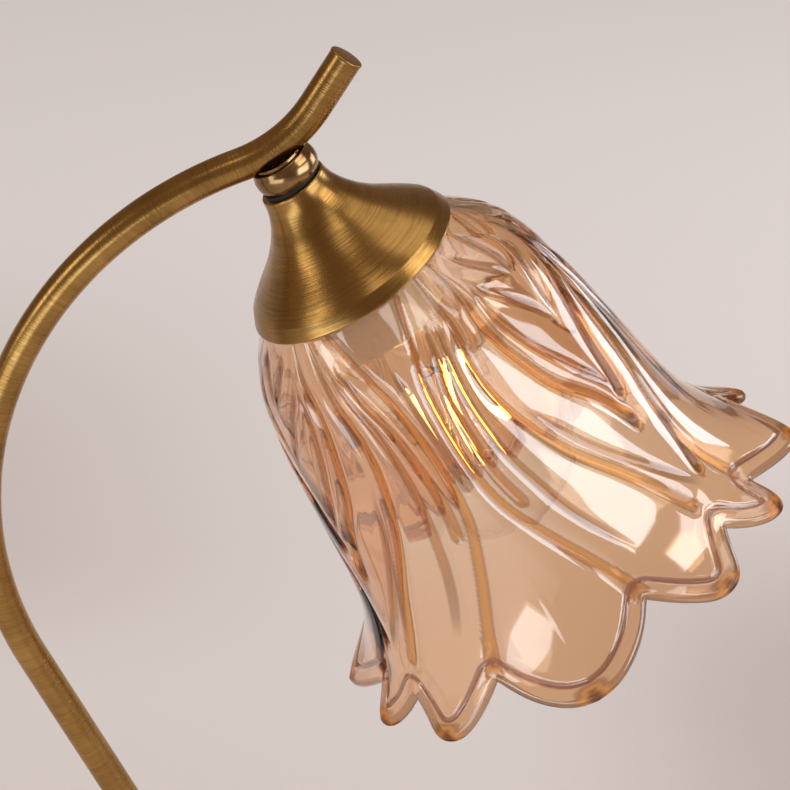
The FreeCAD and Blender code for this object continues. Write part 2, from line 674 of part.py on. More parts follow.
# ---------------------------------------------------------------- the bulb's pieces
def bulb_contact():
    """Solder contact at the tip of the bulb's cap."""
    foot_h = BULB_TOP_H + BULB_TIP_T
    return to_head(turned([(0, BULB_TOP_H), (BULB_TIP_R - BULB_TIP_BEVEL, BULB_TOP_H),
                           (BULB_TIP_R, foot_h), (0, foot_h)]))


def bulb_insulator():
    """Dark glass cone between the contact and the threaded shell."""
    top_h = BULB_TOP_H + BULB_TIP_T
    foot_r = BULB_SHELL_R - BULB_CAP_TAPER_R - BULB_CAP_T
    return to_head(turned([(0, top_h), (BULB_INSULATOR_R, top_h),
                           (foot_r, BULB_SHELL_TOP_H), (0, BULB_SHELL_TOP_H)]))


def bulb_cap():
    """Threaded metal cap of the bulb."""
    top_r = BULB_SHELL_R - BULB_CAP_TAPER_R
    taper_h = BULB_SHELL_TOP_H + BULB_CAP_TAPER_H
    roof_h = BULB_SHELL_TOP_H + BULB_CAP_T
    in_r = BULB_SHELL_R - BULB_CAP_T
    shell = turned([(0, BULB_SHELL_TOP_H), (top_r, BULB_SHELL_TOP_H), (BULB_SHELL_R, taper_h),
                    (BULB_SHELL_R, BULB_SHELL_FOOT_H), (in_r, BULB_SHELL_FOOT_H),
                    (in_r, taper_h + BULB_CAP_T / 2), (top_r - BULB_CAP_T / 2, roof_h),
                    (0, roof_h)])
    return to_head(shell)


def globe(radius, neck_r, neck_top_h):
    """A sphere with a neck that blends into it, as a solid on the Z axis."""
    blend_r = BULB_NECK_BLEND_R + (BULB_R - radius)
    reach = radius + blend_r
    neck_centre_r = neck_r + blend_r
    rise = math.sqrt(reach ** 2 - neck_centre_r ** 2)
    blend_h = BULB_CENTRE_H - rise
    touch_r = neck_centre_r * radius / reach
    touch_h = BULB_CENTRE_H - rise * radius / reach
    bow = math.atan2(rise, neck_centre_r) / 2
    bow_point = vec(neck_centre_r - blend_r * math.cos(bow), 0, blend_h + blend_r * math.sin(bow))
    foot = vec(0, 0, BULB_CENTRE_H + radius)
    side_angle = (math.atan2(-rise, neck_centre_r) + math.pi / 2) / 2
    side = vec(radius * math.cos(side_angle), 0, BULB_CENTRE_H + radius * math.sin(side_angle))
    touch = vec(touch_r, 0, touch_h)
    waist = vec(neck_r, 0, blend_h)
    edges = [Part.Arc(foot, side, touch).toShape(), Part.Arc(touch, bow_point, waist).toShape(),
             line(waist, vec(neck_r, 0, neck_top_h)),
             line(vec(neck_r, 0, neck_top_h), vec(0, 0, neck_top_h)),
             line(vec(0, 0, neck_top_h), foot)]
    return turned_edges(edges)


def bulb_glass():
    """Clear glass envelope of the bulb, cemented into its cap."""
    top_h = BULB_SHELL_FOOT_H - BULB_NECK_SEAT
    outside = globe(BULB_R, BULB_NECK_R, top_h)
    inside = globe(BULB_R - BULB_GLASS_T, BULB_NECK_R - BULB_GLASS_T, top_h - 1)
    return to_head(outside.cut(inside))


def stem_foot_h():
    """End of the glass stem, where the support wires leave it."""
    return BULB_SHELL_FOOT_H + STEM_LENGTH


def bulb_stem():
    """Glass stem that carries the wires and filaments."""
    top_h = BULB_SHELL_FOOT_H - STEM_SEAT
    flare_h = top_h + STEM_FLARE_T
    foot_h = stem_foot_h()
    stem = turned([(0, top_h), (STEM_FLARE_R, top_h), (STEM_FLARE_R, flare_h),
                   (STEM_R + 1, flare_h + STEM_TAPER), (STEM_R, foot_h - STEM_TAPER),
                   (STEM_R - SUPPORT_R, foot_h), (0, foot_h)])
    return to_head(stem)


def bulb_supports():
    """Centre wire with four arms at each end of the filaments."""
    near_h = stem_foot_h() + SUPPORT_LEAD
    far_h = near_h + 2 * SUPPORT_R + FILAMENT_LENGTH
    wires = rod(SUPPORT_R, stem_foot_h(), far_h + SUPPORT_R)
    for k in range(FILAMENT_COUNT):
        for arm_h in (near_h, far_h):
            arm = Part.makeCylinder(SUPPORT_R, FILAMENT_CIRCLE_R, vec(0, 0, arm_h), vec(1, 0, 0))
            arm.rotate(ORIGIN, Z_AXIS, FILAMENT_TURN + 360 / FILAMENT_COUNT * k)
            wires = wires.fuse(arm)
    return to_head(wires.removeSplitter())


def bulb_filaments():
    """Four glowing rods round the centre wire."""
    low_h = stem_foot_h() + SUPPORT_LEAD + SUPPORT_R
    rods = []
    for k in range(FILAMENT_COUNT):
        bar = Part.makeCylinder(FILAMENT_R, FILAMENT_LENGTH, vec(FILAMENT_CIRCLE_R, 0, low_h))
        bar.rotate(ORIGIN, Z_AXIS, FILAMENT_TURN + 360 / FILAMENT_COUNT * k)
        rods.append(bar)
    return to_head(Part.makeCompound(rods))


# ---------------------------------------------------------------- the base's pieces
def base_felt():
    """Felt disc that the lamp stands on."""
    return rod(BASE_R - FELT_INSET, 0, FELT_T)


def screw_places():
    """Angles of the base plate's screws."""
    return [360 / PLATE_SCREW_COUNT * k for k in range(PLATE_SCREW_COUNT)]


def screw_cone(clearance):
    """Countersunk head of a base screw, pointing up, at the screws' radius."""
    head_t = PLATE_SCREW_HEAD_R - PLATE_SCREW_R
    cone = Part.makeCone(PLATE_SCREW_HEAD_R + clearance, PLATE_SCREW_R + clearance, head_t,
                         vec(PLATE_SCREW_CIRCLE_R, 0, PLATE_Z))
    shank = Part.makeCylinder(PLATE_SCREW_R + clearance, PLATE_SCREW_LENGTH,
                              vec(PLATE_SCREW_CIRCLE_R, 0, PLATE_Z))
    return cone.fuse(shank).removeSplitter()


def at_screws(shape):
    """One copy of a shape at each base screw."""
    copies = []
    for angle in screw_places():
        copy = shape.copy()
        copy.rotate(ORIGIN, Z_AXIS, angle)
        copies.append(copy)
    return Part.makeCompound(copies)


def base_plate():
    """Steel plate that closes the base from below."""
    plate_r = BASE_R - COVER_WALL - PLATE_CLEAR
    return rod(plate_r, PLATE_Z, WEIGHT_Z).cut(at_screws(screw_cone(FIT)))


def base_screws():
    """Countersunk screws through the plate into the weight."""
    slot = Part.makeBox(2 * PLATE_SCREW_HEAD_R, PLATE_SLOT_W, PLATE_SLOT_DEPTH,
                        vec(PLATE_SCREW_CIRCLE_R - PLATE_SCREW_HEAD_R, -PLATE_SLOT_W / 2, PLATE_Z))
    return at_screws(screw_cone(0).cut(slot))


def base_weight():
    """Cast iron weight with a well for the nut and room for the terminal block."""
    weight_r = BASE_R - COVER_WALL - WEIGHT_CLEAR
    slug = turned([(0, WEIGHT_Z), (weight_r, WEIGHT_Z), (weight_r, WEIGHT_TOP_Z - WEIGHT_BEVEL_H),
                   (weight_r - WEIGHT_BEVEL_R, WEIGHT_TOP_Z), (0, WEIGHT_TOP_Z)])
    slug = slug.cut(rod(NUT_WELL_R, WEIGHT_Z - 1, WELL_TOP_Z))
    slug = slug.cut(rod(STUD_R + FIT, 0, COVER_H))
    long_room = BLOCK_SIZE[0] + 2 * BLOCK_CLEAR
    wide_room = BLOCK_SIZE[1] + 2 * BLOCK_CLEAR
    room = Part.makeBox(long_room, wide_room, COVER_H,
                        vec(BLOCK_X - long_room / 2, -wide_room / 2, 0))
    lead_way = Part.makeBox(-BLOCK_X, LEAD_CHANNEL_W, LEAD_CHANNEL_H,
                            vec(BLOCK_X, -LEAD_CHANNEL_W / 2, WEIGHT_Z))
    cord_way = Part.makeBox(BASE_R, CORD_CHANNEL_W, COVER_H,
                            vec(BLOCK_X - BASE_R, -CORD_CHANNEL_W / 2, 0))
    slug = slug.cut(room).cut(lead_way).cut(cord_way)
    return slug.cut(at_screws(screw_cone(FIT)))


def cover_outline(inset):
    """Edges of the cover's outer face, or of its inner face for an inset.

    Returns the edges from the foot of the skirt to the boss, and their ends.
    """
    out_r = BASE_R - inset
    shoulder_r = SHOULDER_R - inset
    skirt_z = COVER_LIFT + SKIRT_H
    shoulder_z = skirt_z + SHOULDER_R
    bow = math.sqrt(0.5)
    foot = vec(out_r, 0, COVER_LIFT)
    skirt = vec(out_r, 0, skirt_z)
    corner = vec(out_r - shoulder_r * (1 - bow), 0, skirt_z + shoulder_r * bow)
    deck = vec(BASE_R - SHOULDER_R, 0, shoulder_z - inset)
    step_foot = vec(STEP_R, 0, shoulder_z + STEP_LIFT - inset)
    step_top = vec(STEP_R - STEP_H, 0, step_foot.z + STEP_H)
    boss = vec(BOSS_R, 0, COVER_H - inset)
    mid = vec((step_top.x + boss.x) / 2, 0, step_top.z + DOME_BOW * (boss.z - step_top.z))
    edges = [line(foot, skirt), Part.Arc(skirt, corner, deck).toShape(), line(deck, step_foot),
             line(step_foot, step_top), Part.Arc(step_top, mid, boss).toShape()]
    return edges, foot, boss


def base_cover():
    """Spun brass cover of the base."""
    outer, outer_foot, outer_boss = cover_outline(0)
    inner, inner_foot, inner_boss = cover_outline(COVER_WALL)
    hole_r = STUD_R + FIT
    top = [outer_boss, vec(hole_r, 0, outer_boss.z), vec(hole_r, 0, inner_boss.z), inner_boss]
    edges = outer + [line(a, b) for a, b in zip(top, top[1:])]
    edges += inner[::-1] + [line(inner_foot, outer_foot)]
    shell = Part.Face(Part.Wire(Part.__sortEdges__(edges))).revolve(ORIGIN, Z_AXIS, 360)
    hole = Part.makeCylinder(INLET_BODY_R + FIT, 4 * COVER_WALL,
                             vec(-BASE_R + 2 * COVER_WALL, 0, INLET_Z), vec(-1, 0, 0))
    return shell.cut(hole)


def inlet_bush():
    """Flanged bush in the back of the base, where a cord would enter."""
    outer_face = -BASE_R - INLET_FLANGE_T
    bush_shape = turned([(INLET_BORE_R, 0), (INLET_FLANGE_R - INLET_CHAMFER, 0),
                         (INLET_FLANGE_R, INLET_CHAMFER), (INLET_FLANGE_R, INLET_FLANGE_T),
                         (INLET_BODY_R, INLET_FLANGE_T),
                         (INLET_BODY_R, INLET_LENGTH), (INLET_BORE_R, INLET_LENGTH)])
    bush_shape.rotate(ORIGIN, vec(0, 1, 0), 90)
    bush_shape.translate(vec(outer_face, 0, INLET_Z))
    return bush_shape


def terminal_block():
    """Two-way block on the base plate, between the inlet and the lead."""
    long_side, wide_side, tall_side = BLOCK_SIZE
    block = Part.makeBox(long_side, wide_side, tall_side,
                         vec(BLOCK_X - long_side / 2, -wide_side / 2, WEIGHT_Z))
    for y in (-wide_side / 4, wide_side / 4):
        bore = Part.makeCylinder(BLOCK_BORE_R, long_side / 2,
                                 vec(BLOCK_X - long_side / 2, y, LEAD_Z), vec(1, 0, 0))
        well = Part.makeCylinder(BLOCK_WELL_R, tall_side,
                                 vec(BLOCK_X - long_side / 4, y, LEAD_Z + BLOCK_WELL_LIFT))
        block = block.cut(bore).cut(well)
    return block


def block_screws():
    """Clamping screws in the terminal block's wells."""
    screws = []
    for y in (-BLOCK_SIZE[1] / 4, BLOCK_SIZE[1] / 4):
        foot = vec(BLOCK_X - BLOCK_SIZE[0] / 4, y, LEAD_Z + BLOCK_WELL_LIFT)
        screw = Part.makeCylinder(BLOCK_WELL_R - FIT, BLOCK_SCREW_T, foot)
        corner = vec(-BLOCK_WELL_R, -BLOCK_SLOT_W / 2, BLOCK_SCREW_T - BLOCK_SLOT_DEPTH)
        slot = Part.makeBox(2 * BLOCK_WELL_R, BLOCK_SLOT_W, BLOCK_SCREW_T, foot + corner)
        screws.append(screw.cut(slot))
    return Part.makeCompound(screws)


def arm_stud():
    """Hollow threaded stud brazed into the foot of the tube."""
    return bush(STUD_R, STUD_BORE / 2, STUD_FOOT_Z, COVER_H + STUD_GRIP)


def base_washer():
    """Steel washer that the arm's nut pulls against."""
    return bush(BASE_WASHER_R, STUD_R + FIT, WELL_TOP_Z - BASE_WASHER_T, WELL_TOP_Z)


def base_nut():
    """Hexagon nut on the arm's stud, inside the weight's well."""
    top_z = WELL_TOP_Z - BASE_WASHER_T
    return hexagon(BASE_NUT_FLATS, STUD_R + FIT, top_z - BASE_NUT_T, top_z)


def base_spacer():
    """Sleeve between the weight and the cover, round the stud."""
    return bush(SPACER_R, STUD_R + FIT, WEIGHT_TOP_Z, COVER_H - COVER_WALL)


def arm_ferrule():
    """Turned brass foot round the bottom of the tube."""
    bore_r = TUBE_R + FIT
    neck_z = COVER_H + FERRULE_H
    band_z = COVER_H + FERRULE_FOOT_H
    step_r = FERRULE_R - FERRULE_FOOT_STEP
    bead_r = FERRULE_TOP_R + FERRULE_BEAD
    ogee_top = vec(FERRULE_TOP_R, 0, neck_z - FERRULE_BEAD_H)
    ogee_foot = vec(step_r, 0, COVER_H + FERRULE_SHOULDER_H)
    dip = vec(FERRULE_TOP_R + FERRULE_DIP[0], 0, COVER_H + FERRULE_DIP[1])
    stops_low = [vec(bore_r, 0, COVER_H), vec(FERRULE_R, 0, COVER_H), vec(FERRULE_R, 0, band_z),
                 vec(step_r, 0, band_z), ogee_foot]
    stops_high = [ogee_top, vec(bead_r, 0, ogee_top.z), vec(bead_r, 0, neck_z - FERRULE_BEAD),
                  vec(FERRULE_TOP_R, 0, neck_z), vec(bore_r, 0, neck_z), vec(bore_r, 0, COVER_H)]
    edges = [line(a, b) for a, b in zip(stops_low, stops_low[1:])]
    edges.append(Part.Arc(ogee_foot, dip, ogee_top).toShape())
    edges += [line(a, b) for a, b in zip(stops_high, stops_high[1:])]
    return turned_edges(edges)


PIECES = {
    "base_felt": base_felt,
    "base_plate": base_plate,
    "base_screws": base_screws,
    "base_weight": base_weight,
    "base_cover": base_cover,
    "base_spacer": base_spacer,
    "base_washer": base_washer,
    "base_nut": base_nut,
    "inlet_bush": inlet_bush,
    "terminal_block": terminal_block,
    "block_screws": block_screws,
    "arm_ferrule": arm_ferrule,
    "arm_stud": arm_stud,
    "arm_tube": arm_tube,
    "arm_end_cap": arm_end_cap,
    "arm_lead": arm_lead,
    "neck_collar": neck_collar,
    "neck_nipple": neck_nipple,
    "swivel_washer": swivel_washer,
    "holder_cup": holder_cup,
    "tooth_washer": tooth_washer,
    "cup_nut": cup_nut,
    "holder_cap": holder_cap,
    "holder_body": holder_body,
    "holder_terminals": holder_terminals,
    "terminal_screws": terminal_screws,
    "holder_cores": holder_cores,
    "screw_shell": screw_shell,
    "centre_contact": centre_contact,
    "shade_gasket": shade_gasket,
    "shade_ring": shade_ring,
    "glass_shade": glass_shade,
    "bulb_cap": bulb_cap,
    "bulb_insulator": bulb_insulator,
    "bulb_contact": bulb_contact,
    "bulb_glass": bulb_glass,
    "bulb_stem": bulb_stem,
    "bulb_supports": bulb_supports,
    "bulb_filaments": bulb_filaments,
}

os.makedirs("parts", exist_ok=True)
for name, make in PIECES.items():
    shape = make()
    box = shape.BoundBox
    print(f"{name:17s} valid {shape.isValid()} solids {len(shape.Solids)} volume {shape.Volume:10.1f}"
          f" z {box.ZMin:7.2f} {box.ZMax:7.2f}")
    shape.exportStep(f"parts/{name}.step")
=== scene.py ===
"""Looks of a table lamp with a bent brass arm and a hanging pressed glass flower shade.

Metres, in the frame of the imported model: +Z up, the arm in the XZ plane and the
shade towards +X. Sizes in the classes are millimetres.
"""

import json
import logging
import math
from dataclasses import dataclass, field
from enum import Enum
from typing import Any, Callable, Sequence

import bpy
import numpy as np
from mathutils import Matrix, Vector

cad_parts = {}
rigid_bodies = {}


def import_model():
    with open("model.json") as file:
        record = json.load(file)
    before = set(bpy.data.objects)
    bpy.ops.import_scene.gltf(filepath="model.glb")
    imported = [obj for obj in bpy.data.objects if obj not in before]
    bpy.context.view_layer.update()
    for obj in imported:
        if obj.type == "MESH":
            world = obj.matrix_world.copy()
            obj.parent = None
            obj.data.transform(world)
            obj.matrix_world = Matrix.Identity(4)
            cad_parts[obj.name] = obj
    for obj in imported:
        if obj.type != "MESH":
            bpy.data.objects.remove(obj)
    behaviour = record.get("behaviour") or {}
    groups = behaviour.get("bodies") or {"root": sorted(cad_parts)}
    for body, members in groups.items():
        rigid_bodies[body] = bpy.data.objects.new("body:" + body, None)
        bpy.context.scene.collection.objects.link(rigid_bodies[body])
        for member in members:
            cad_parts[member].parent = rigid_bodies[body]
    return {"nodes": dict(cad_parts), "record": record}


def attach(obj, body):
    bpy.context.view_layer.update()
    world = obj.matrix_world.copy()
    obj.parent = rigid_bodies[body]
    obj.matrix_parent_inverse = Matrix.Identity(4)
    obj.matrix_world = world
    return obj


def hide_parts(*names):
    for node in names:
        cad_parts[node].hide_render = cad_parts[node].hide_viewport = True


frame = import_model()

MM = 0.001
LOG = logging.getLogger("lamp")
Colour = tuple[float, float, float]
Profile = list[tuple[float, float]]
Place = Callable[[np.ndarray], np.ndarray]


# ---------------------------------------------------------------- shader expressions
class Value:
    """A node socket that can stand in a Python expression."""

    def __init__(self, tree: "Tree", socket: bpy.types.NodeSocket) -> None:
        """Keep the socket and the tree it belongs to."""
        self.tree = tree
        self.socket = socket

    def maths(self, operation: str, *others: "Value | float") -> "Value":
        """Apply a Math node to this value.

        Args:
            operation: Name of the Math node's operation.
            others: Further values, in the order of the node's sockets.

        Returns:
            The node's result.
        """
        inputs = dict(enumerate((self, *others)))
        return self.tree.add("ShaderNodeMath", {"operation": operation}, inputs)

    def flipped(self, operation: str, first: float) -> "Value":
        """Apply a Math node with a plain number in front of this value."""
        return self.tree.add("ShaderNodeMath", {"operation": operation}, {0: first, 1: self})

    def __add__(self, other: "Value | float") -> "Value":
        """Sum."""
        return self.maths("ADD", other)

    def __radd__(self, other: float) -> "Value":
        """Sum with a number in front."""
        return self.flipped("ADD", other)

    def __sub__(self, other: "Value | float") -> "Value":
        """Difference."""
        return self.maths("SUBTRACT", other)

    def __rsub__(self, other: float) -> "Value":
        """Difference with a number in front."""
        return self.flipped("SUBTRACT", other)

    def __mul__(self, other: "Value | float") -> "Value":
        """Product."""
        return self.maths("MULTIPLY", other)

    def __rmul__(self, other: float) -> "Value":
        """Product with a number in front."""
        return self.flipped("MULTIPLY", other)

    def band(self, low: float, high: float, start: float = 0.0, end: float = 1.0) -> "Value":
        """Map low..high smoothly to start..end, held at both ends.

        Args:
            low: Value that gives start.
            high: Value that gives end.
            start: Result at and below low.
            end: Result at and above high.

        Returns:
            The mapped value.
        """
        return self.tree.add("ShaderNodeMapRange", {"interpolation_type": "SMOOTHSTEP"},
                             {0: self, 1: low, 2: high, 3: start, 4: end})


class Tree:
    """The node tree of one material, built from expressions."""

    def __init__(self, name: str) -> None:
        """Make an empty material."""
        self.material = bpy.data.materials.new(name)
        self.material.use_nodes = True
        self.nodes = self.material.node_tree.nodes
        self.links = self.material.node_tree.links
        self.nodes.clear()

    def add(self, kind: str, settings: dict[str, Any] | None = None,
            inputs: dict[int | str, Any] | None = None, output: int | str = 0) -> Value:
        """Add any node.

        Args:
            kind: The node's type.
            settings: Node properties, and "stops" for a colour ramp.
            inputs: Socket index or name, with a Value to link or a plain value.
            output: Which output to return.

        Returns:
            That output.
        """
        node = self.nodes.new(kind)
        for key, setting in (settings or {}).items():
            if key == "stops":
                self.set_stops(node.color_ramp, setting)
            else:
                setattr(node, key, setting)
        for key, source in (inputs or {}).items():
            socket = node.inputs[key]
            if isinstance(source, Value):
                self.links.new(source.socket, socket)
            else:
                socket.default_value = source
        return Value(self, node.outputs[output])

    @staticmethod
    def set_stops(ramp: bpy.types.ColorRamp, stops: Sequence[tuple[float, Colour]]) -> None:
        """Give a colour ramp its stops.

        Args:
            ramp: The ramp.
            stops: Position and colour of each stop.
        """
        while len(ramp.elements) < len(stops):
            ramp.elements.new(1.0)
        for element, (position, colour) in zip(ramp.elements, stops):
            element.position = position
            element.color = (*colour, 1.0)

    def place(self) -> Value:
        """Object coordinates, which are the row frame's metres."""
        return self.add("ShaderNodeTexCoord", None, None, "Object")

    def attribute(self, name: str) -> Value:
        """A number stored on the mesh."""
        return self.add("ShaderNodeAttribute", {"attribute_name": name}, None, "Fac")

    def noise(self, vector: Value, scale: float, detail: float = 3.0, rough: float = 0.5) -> Value:
        """Noise between 0 and 1.

        Args:
            vector: Where it is read.
            scale: Its frequency.
            detail: Number of finer layers.
            rough: Strength of the finer layers.

        Returns:
            The noise.
        """
        return self.add("ShaderNodeTexNoise", None,
                        {"Vector": vector, "Scale": scale, "Detail": detail, "Roughness": rough})

    def mix(self, factor: Value | float, first: Any, second: Any) -> Value:
        """Mix two colours, given as Values or as red, green and blue."""
        pair = [c if isinstance(c, Value) else (*c, 1.0) for c in (first, second)]
        return self.add("ShaderNodeMix", {"data_type": "RGBA"},
                        {0: factor, 6: pair[0], 7: pair[1]}, 2)

    def join(self, x: Value | float, y: Value | float, z: Value | float) -> Value:
        """A vector from three numbers."""
        return self.add("ShaderNodeCombineXYZ", None, {0: x, 1: y, 2: z})

    def parts(self, vector: Value) -> tuple[Value, Value, Value]:
        """The three numbers of a vector."""
        first = self.add("ShaderNodeSeparateXYZ", None, {0: vector})
        outputs = first.socket.node.outputs
        return first, Value(self, outputs[1]), Value(self, outputs[2])

    def bump(self, height: Value, depth: float) -> Value:
        """A normal bent by a height between 0 and 1, where 1 stands for depth in metres."""
        return self.add("ShaderNodeBump", None, {"Height": height, "Distance": depth})

    def finish(self, **sockets: Any) -> bpy.types.Material:
        """Close the tree with a Principled BSDF.

        Args:
            sockets: The shader's sockets, with underscores for spaces.

        Returns:
            The material.
        """
        inputs = {key.replace("_", " "): value for key, value in sockets.items()}
        shader = self.add("ShaderNodeBsdfPrincipled", None, inputs)
        self.add_output(shader)
        return self.material

    def add_output(self, surface: Value, volume: Value | None = None) -> None:
        """Link the material's output."""
        node = self.nodes.new("ShaderNodeOutputMaterial")
        self.links.new(surface.socket, node.inputs["Surface"])
        if volume is not None:
            self.links.new(volume.socket, node.inputs["Volume"])


# ---------------------------------------------------------------- where things are
@dataclass(frozen=True)
class Axis:
    """A line about which pieces are turned, leaning over towards +X.

    Local coordinates are x and y across the line and h along it, with x = 0 and
    y = 1 facing -Y, where the camera stands.
    """

    x: float = 0.0
    z: float = 0.0
    lean: float = 180.0

    def start(self) -> tuple[float, float, float]:
        """Where h = 0 lies on the line, in row-frame metres."""
        return self.x * MM, 0.0, self.z * MM

    def frame(self) -> np.ndarray:
        """Rows: the local x, y and h directions in the row frame."""
        lean = math.radians(self.lean)
        across = (math.cos(lean), 0.0, math.sin(lean))
        along = (math.sin(lean), 0.0, -math.cos(lean))
        return np.array([across, (0.0, -1.0, 0.0), along])

    def place(self, points: np.ndarray) -> np.ndarray:
        """Row-frame metres of local millimetre points."""
        return (points @ self.frame() + np.array([self.x, 0.0, self.z])) * MM

    def matrix(self) -> Matrix:
        """The same as a matrix for local points in metres."""
        rows, start = self.frame().T, self.start()
        return Matrix([[*rows[k], start[k]] for k in range(3)] + [[0, 0, 0, 1]])

    def read(self, tree: Tree) -> tuple[Value, Value, Value]:
        """Local x, y and h in metres, inside a material."""
        moved = tree.add("ShaderNodeVectorMath", {"operation": "SUBTRACT"},
                         {0: tree.place(), 1: self.start()})
        values = [tree.add("ShaderNodeVectorMath", {"operation": "DOT_PRODUCT"},
                           {0: moved, 1: tuple(row)}, "Value") for row in self.frame()]
        return values[0], values[1], values[2]


UPRIGHT = Axis()
HEAD = Axis(10.184, 377.454, 32.0)


# ---------------------------------------------------------------- finishes
class Brush(Enum):
    """Which way a metal finish was brushed."""

    ROUND_HEAD = "head"
    ROUND_BASE = "base"
    ACROSS_TUBE = "tube"


@dataclass(frozen=True)
class BrushedBrass:
    """Lacquered antique brass with fine brush lines."""

    name: str
    brush: Brush
    bright: Colour = (0.43, 0.24, 0.072)
    dark: Colour = (0.205, 0.107, 0.027)
    lines: float = 2600.0
    depth: float = 0.00007
    roughness: float = 0.19
    tube_swirl: float = 45.0
    turned_swirl: float = 40.0
    diagonal: float = 0.75
    coarse_share: float = 0.28

    def build(self) -> bpy.types.Material:
        """Make the material."""
        tree = Tree(self.name)
        if self.brush is Brush.ACROSS_TUBE:
            run = tree.attribute("run")
            x, y, z = tree.parts(tree.place())
            around = tree.join(*(part * self.tube_swirl for part in (x, y, z)))
        else:
            axis = HEAD if self.brush is Brush.ROUND_HEAD else UPRIGHT
            x, y, h = axis.read(tree)
            run = (x * x + y * y).maths("SQRT") * self.diagonal + h * self.diagonal
            around = tree.join(*(part * self.turned_swirl for part in (x, y, h)))
        swirl = tree.noise(around, 1.0, 2.0)
        fine = tree.noise(tree.join(run * self.lines, swirl * 3.0, 0.0), 1.0, 2.0, 0.7)
        wide_run = run * (self.lines * self.coarse_share)
        coarse = tree.noise(tree.join(wide_run, swirl * 5.0, 4.0), 1.0, 3.0, 0.6)
        patina = tree.noise(tree.place(), 70.0, 4.0, 0.55)
        lines = fine * 0.65 + coarse * 0.35
        worn = lines.band(0.32, 0.68) * 0.5 + patina.band(0.3, 0.75) * 0.5
        colour = tree.mix(worn, self.dark, self.bright)
        rough = self.roughness + (1.0 - worn) * 0.12
        return tree.finish(Base_Color=colour, Metallic=1.0, Roughness=rough,
                           Normal=tree.bump(lines, self.depth))


@dataclass(frozen=True)
class PolishedBrass:
    """Buffed antique brass with faint turning marks and a few smudges."""

    name: str
    axis: Axis
    # Darker than the brushed brass: painted shade for the dark room that the polished collar
    # reflects.
    bright: Colour = (0.36, 0.225, 0.105)
    dark: Colour = (0.22, 0.125, 0.052)

    def build(self) -> bpy.types.Material:
        """Make the material."""
        tree = Tree(self.name)
        x, y, h = self.axis.read(tree)
        marks = tree.noise(tree.join(h * 2400.0, x * 30.0, y * 30.0), 1.0, 2.0)
        smudge = tree.noise(tree.place(), 160.0, 4.0)
        colour = tree.mix(smudge.band(0.35, 0.7), self.dark, self.bright)
        rough = 0.13 + smudge * 0.10
        return tree.finish(Base_Color=colour, Metallic=1.0, Roughness=rough,
                           Normal=tree.bump(marks, 0.000006))


@dataclass(frozen=True)
class PlainMetal:
    """Plated or cast metal with grain, and a thread where it has one."""

    name: str
    bright: Colour
    dark: Colour
    roughness: float
    grain: float = 900.0
    depth: float = 0.00002
    metallic: float = 1.0
    pitch: float = 0.0
    thread: float = 0.0003

    def build(self) -> bpy.types.Material:
        """Make the material."""
        tree = Tree(self.name)
        grain = tree.noise(tree.place(), self.grain, 4.0)
        cloud = tree.noise(tree.place(), self.grain * 0.12, 3.0)
        colour = tree.mix(cloud.band(0.3, 0.7), self.dark, self.bright)
        rough = self.roughness + grain * 0.14
        normal = tree.bump(grain, self.depth)
        if self.pitch:
            x, y, h = HEAD.read(tree)
            turn = y.maths("ARCTAN2", x) * (0.5 / math.pi)
            wave = ((h * (1.0 / self.pitch) - turn) * (2.0 * math.pi)).maths("SINE")
            normal = tree.bump(wave * 0.5 + 0.5 + grain * 0.03, self.thread)
        return tree.finish(Base_Color=colour, Metallic=self.metallic, Roughness=rough,
                           Normal=normal)


@dataclass(frozen=True)
class Moulded:
    """Moulded plastic, rubber or glazed ceramic."""

    name: str
    colour: Colour
    mottle: Colour
    roughness: float
    grain: float = 1400.0
    depth: float = 0.00002
    coat: float = 0.0

    def build(self) -> bpy.types.Material:
        """Make the material."""
        tree = Tree(self.name)
        grain = tree.noise(tree.place(), self.grain, 3.0)
        cloud = tree.noise(tree.place(), 60.0, 3.0)
        colour = tree.mix(cloud.band(0.3, 0.75), self.colour, self.mottle)
        return tree.finish(Base_Color=colour, Roughness=self.roughness + grain * 0.12,
                           Coat_Weight=self.coat, Coat_Roughness=0.08,
                           Normal=tree.bump(grain, self.depth))


@dataclass(frozen=True)
class Felt:
    """Pressed felt with matted fibres."""

    name: str
    colour: Colour
    fibre: Colour

    def build(self) -> bpy.types.Material:
        """Make the material."""
        tree = Tree(self.name)
        fine = tree.noise(tree.place(), 2600.0, 5.0, 0.75)
        mat = tree.noise(tree.place(), 240.0, 4.0, 0.6)
        colour = tree.mix((fine * 0.6 + mat * 0.4).band(0.38, 0.66), self.colour, self.fibre)
        return tree.finish(Base_Color=colour, Roughness=0.96, Sheen_Weight=0.5,
                           Sheen_Roughness=0.5, Normal=tree.bump(fine + mat, 0.0002))


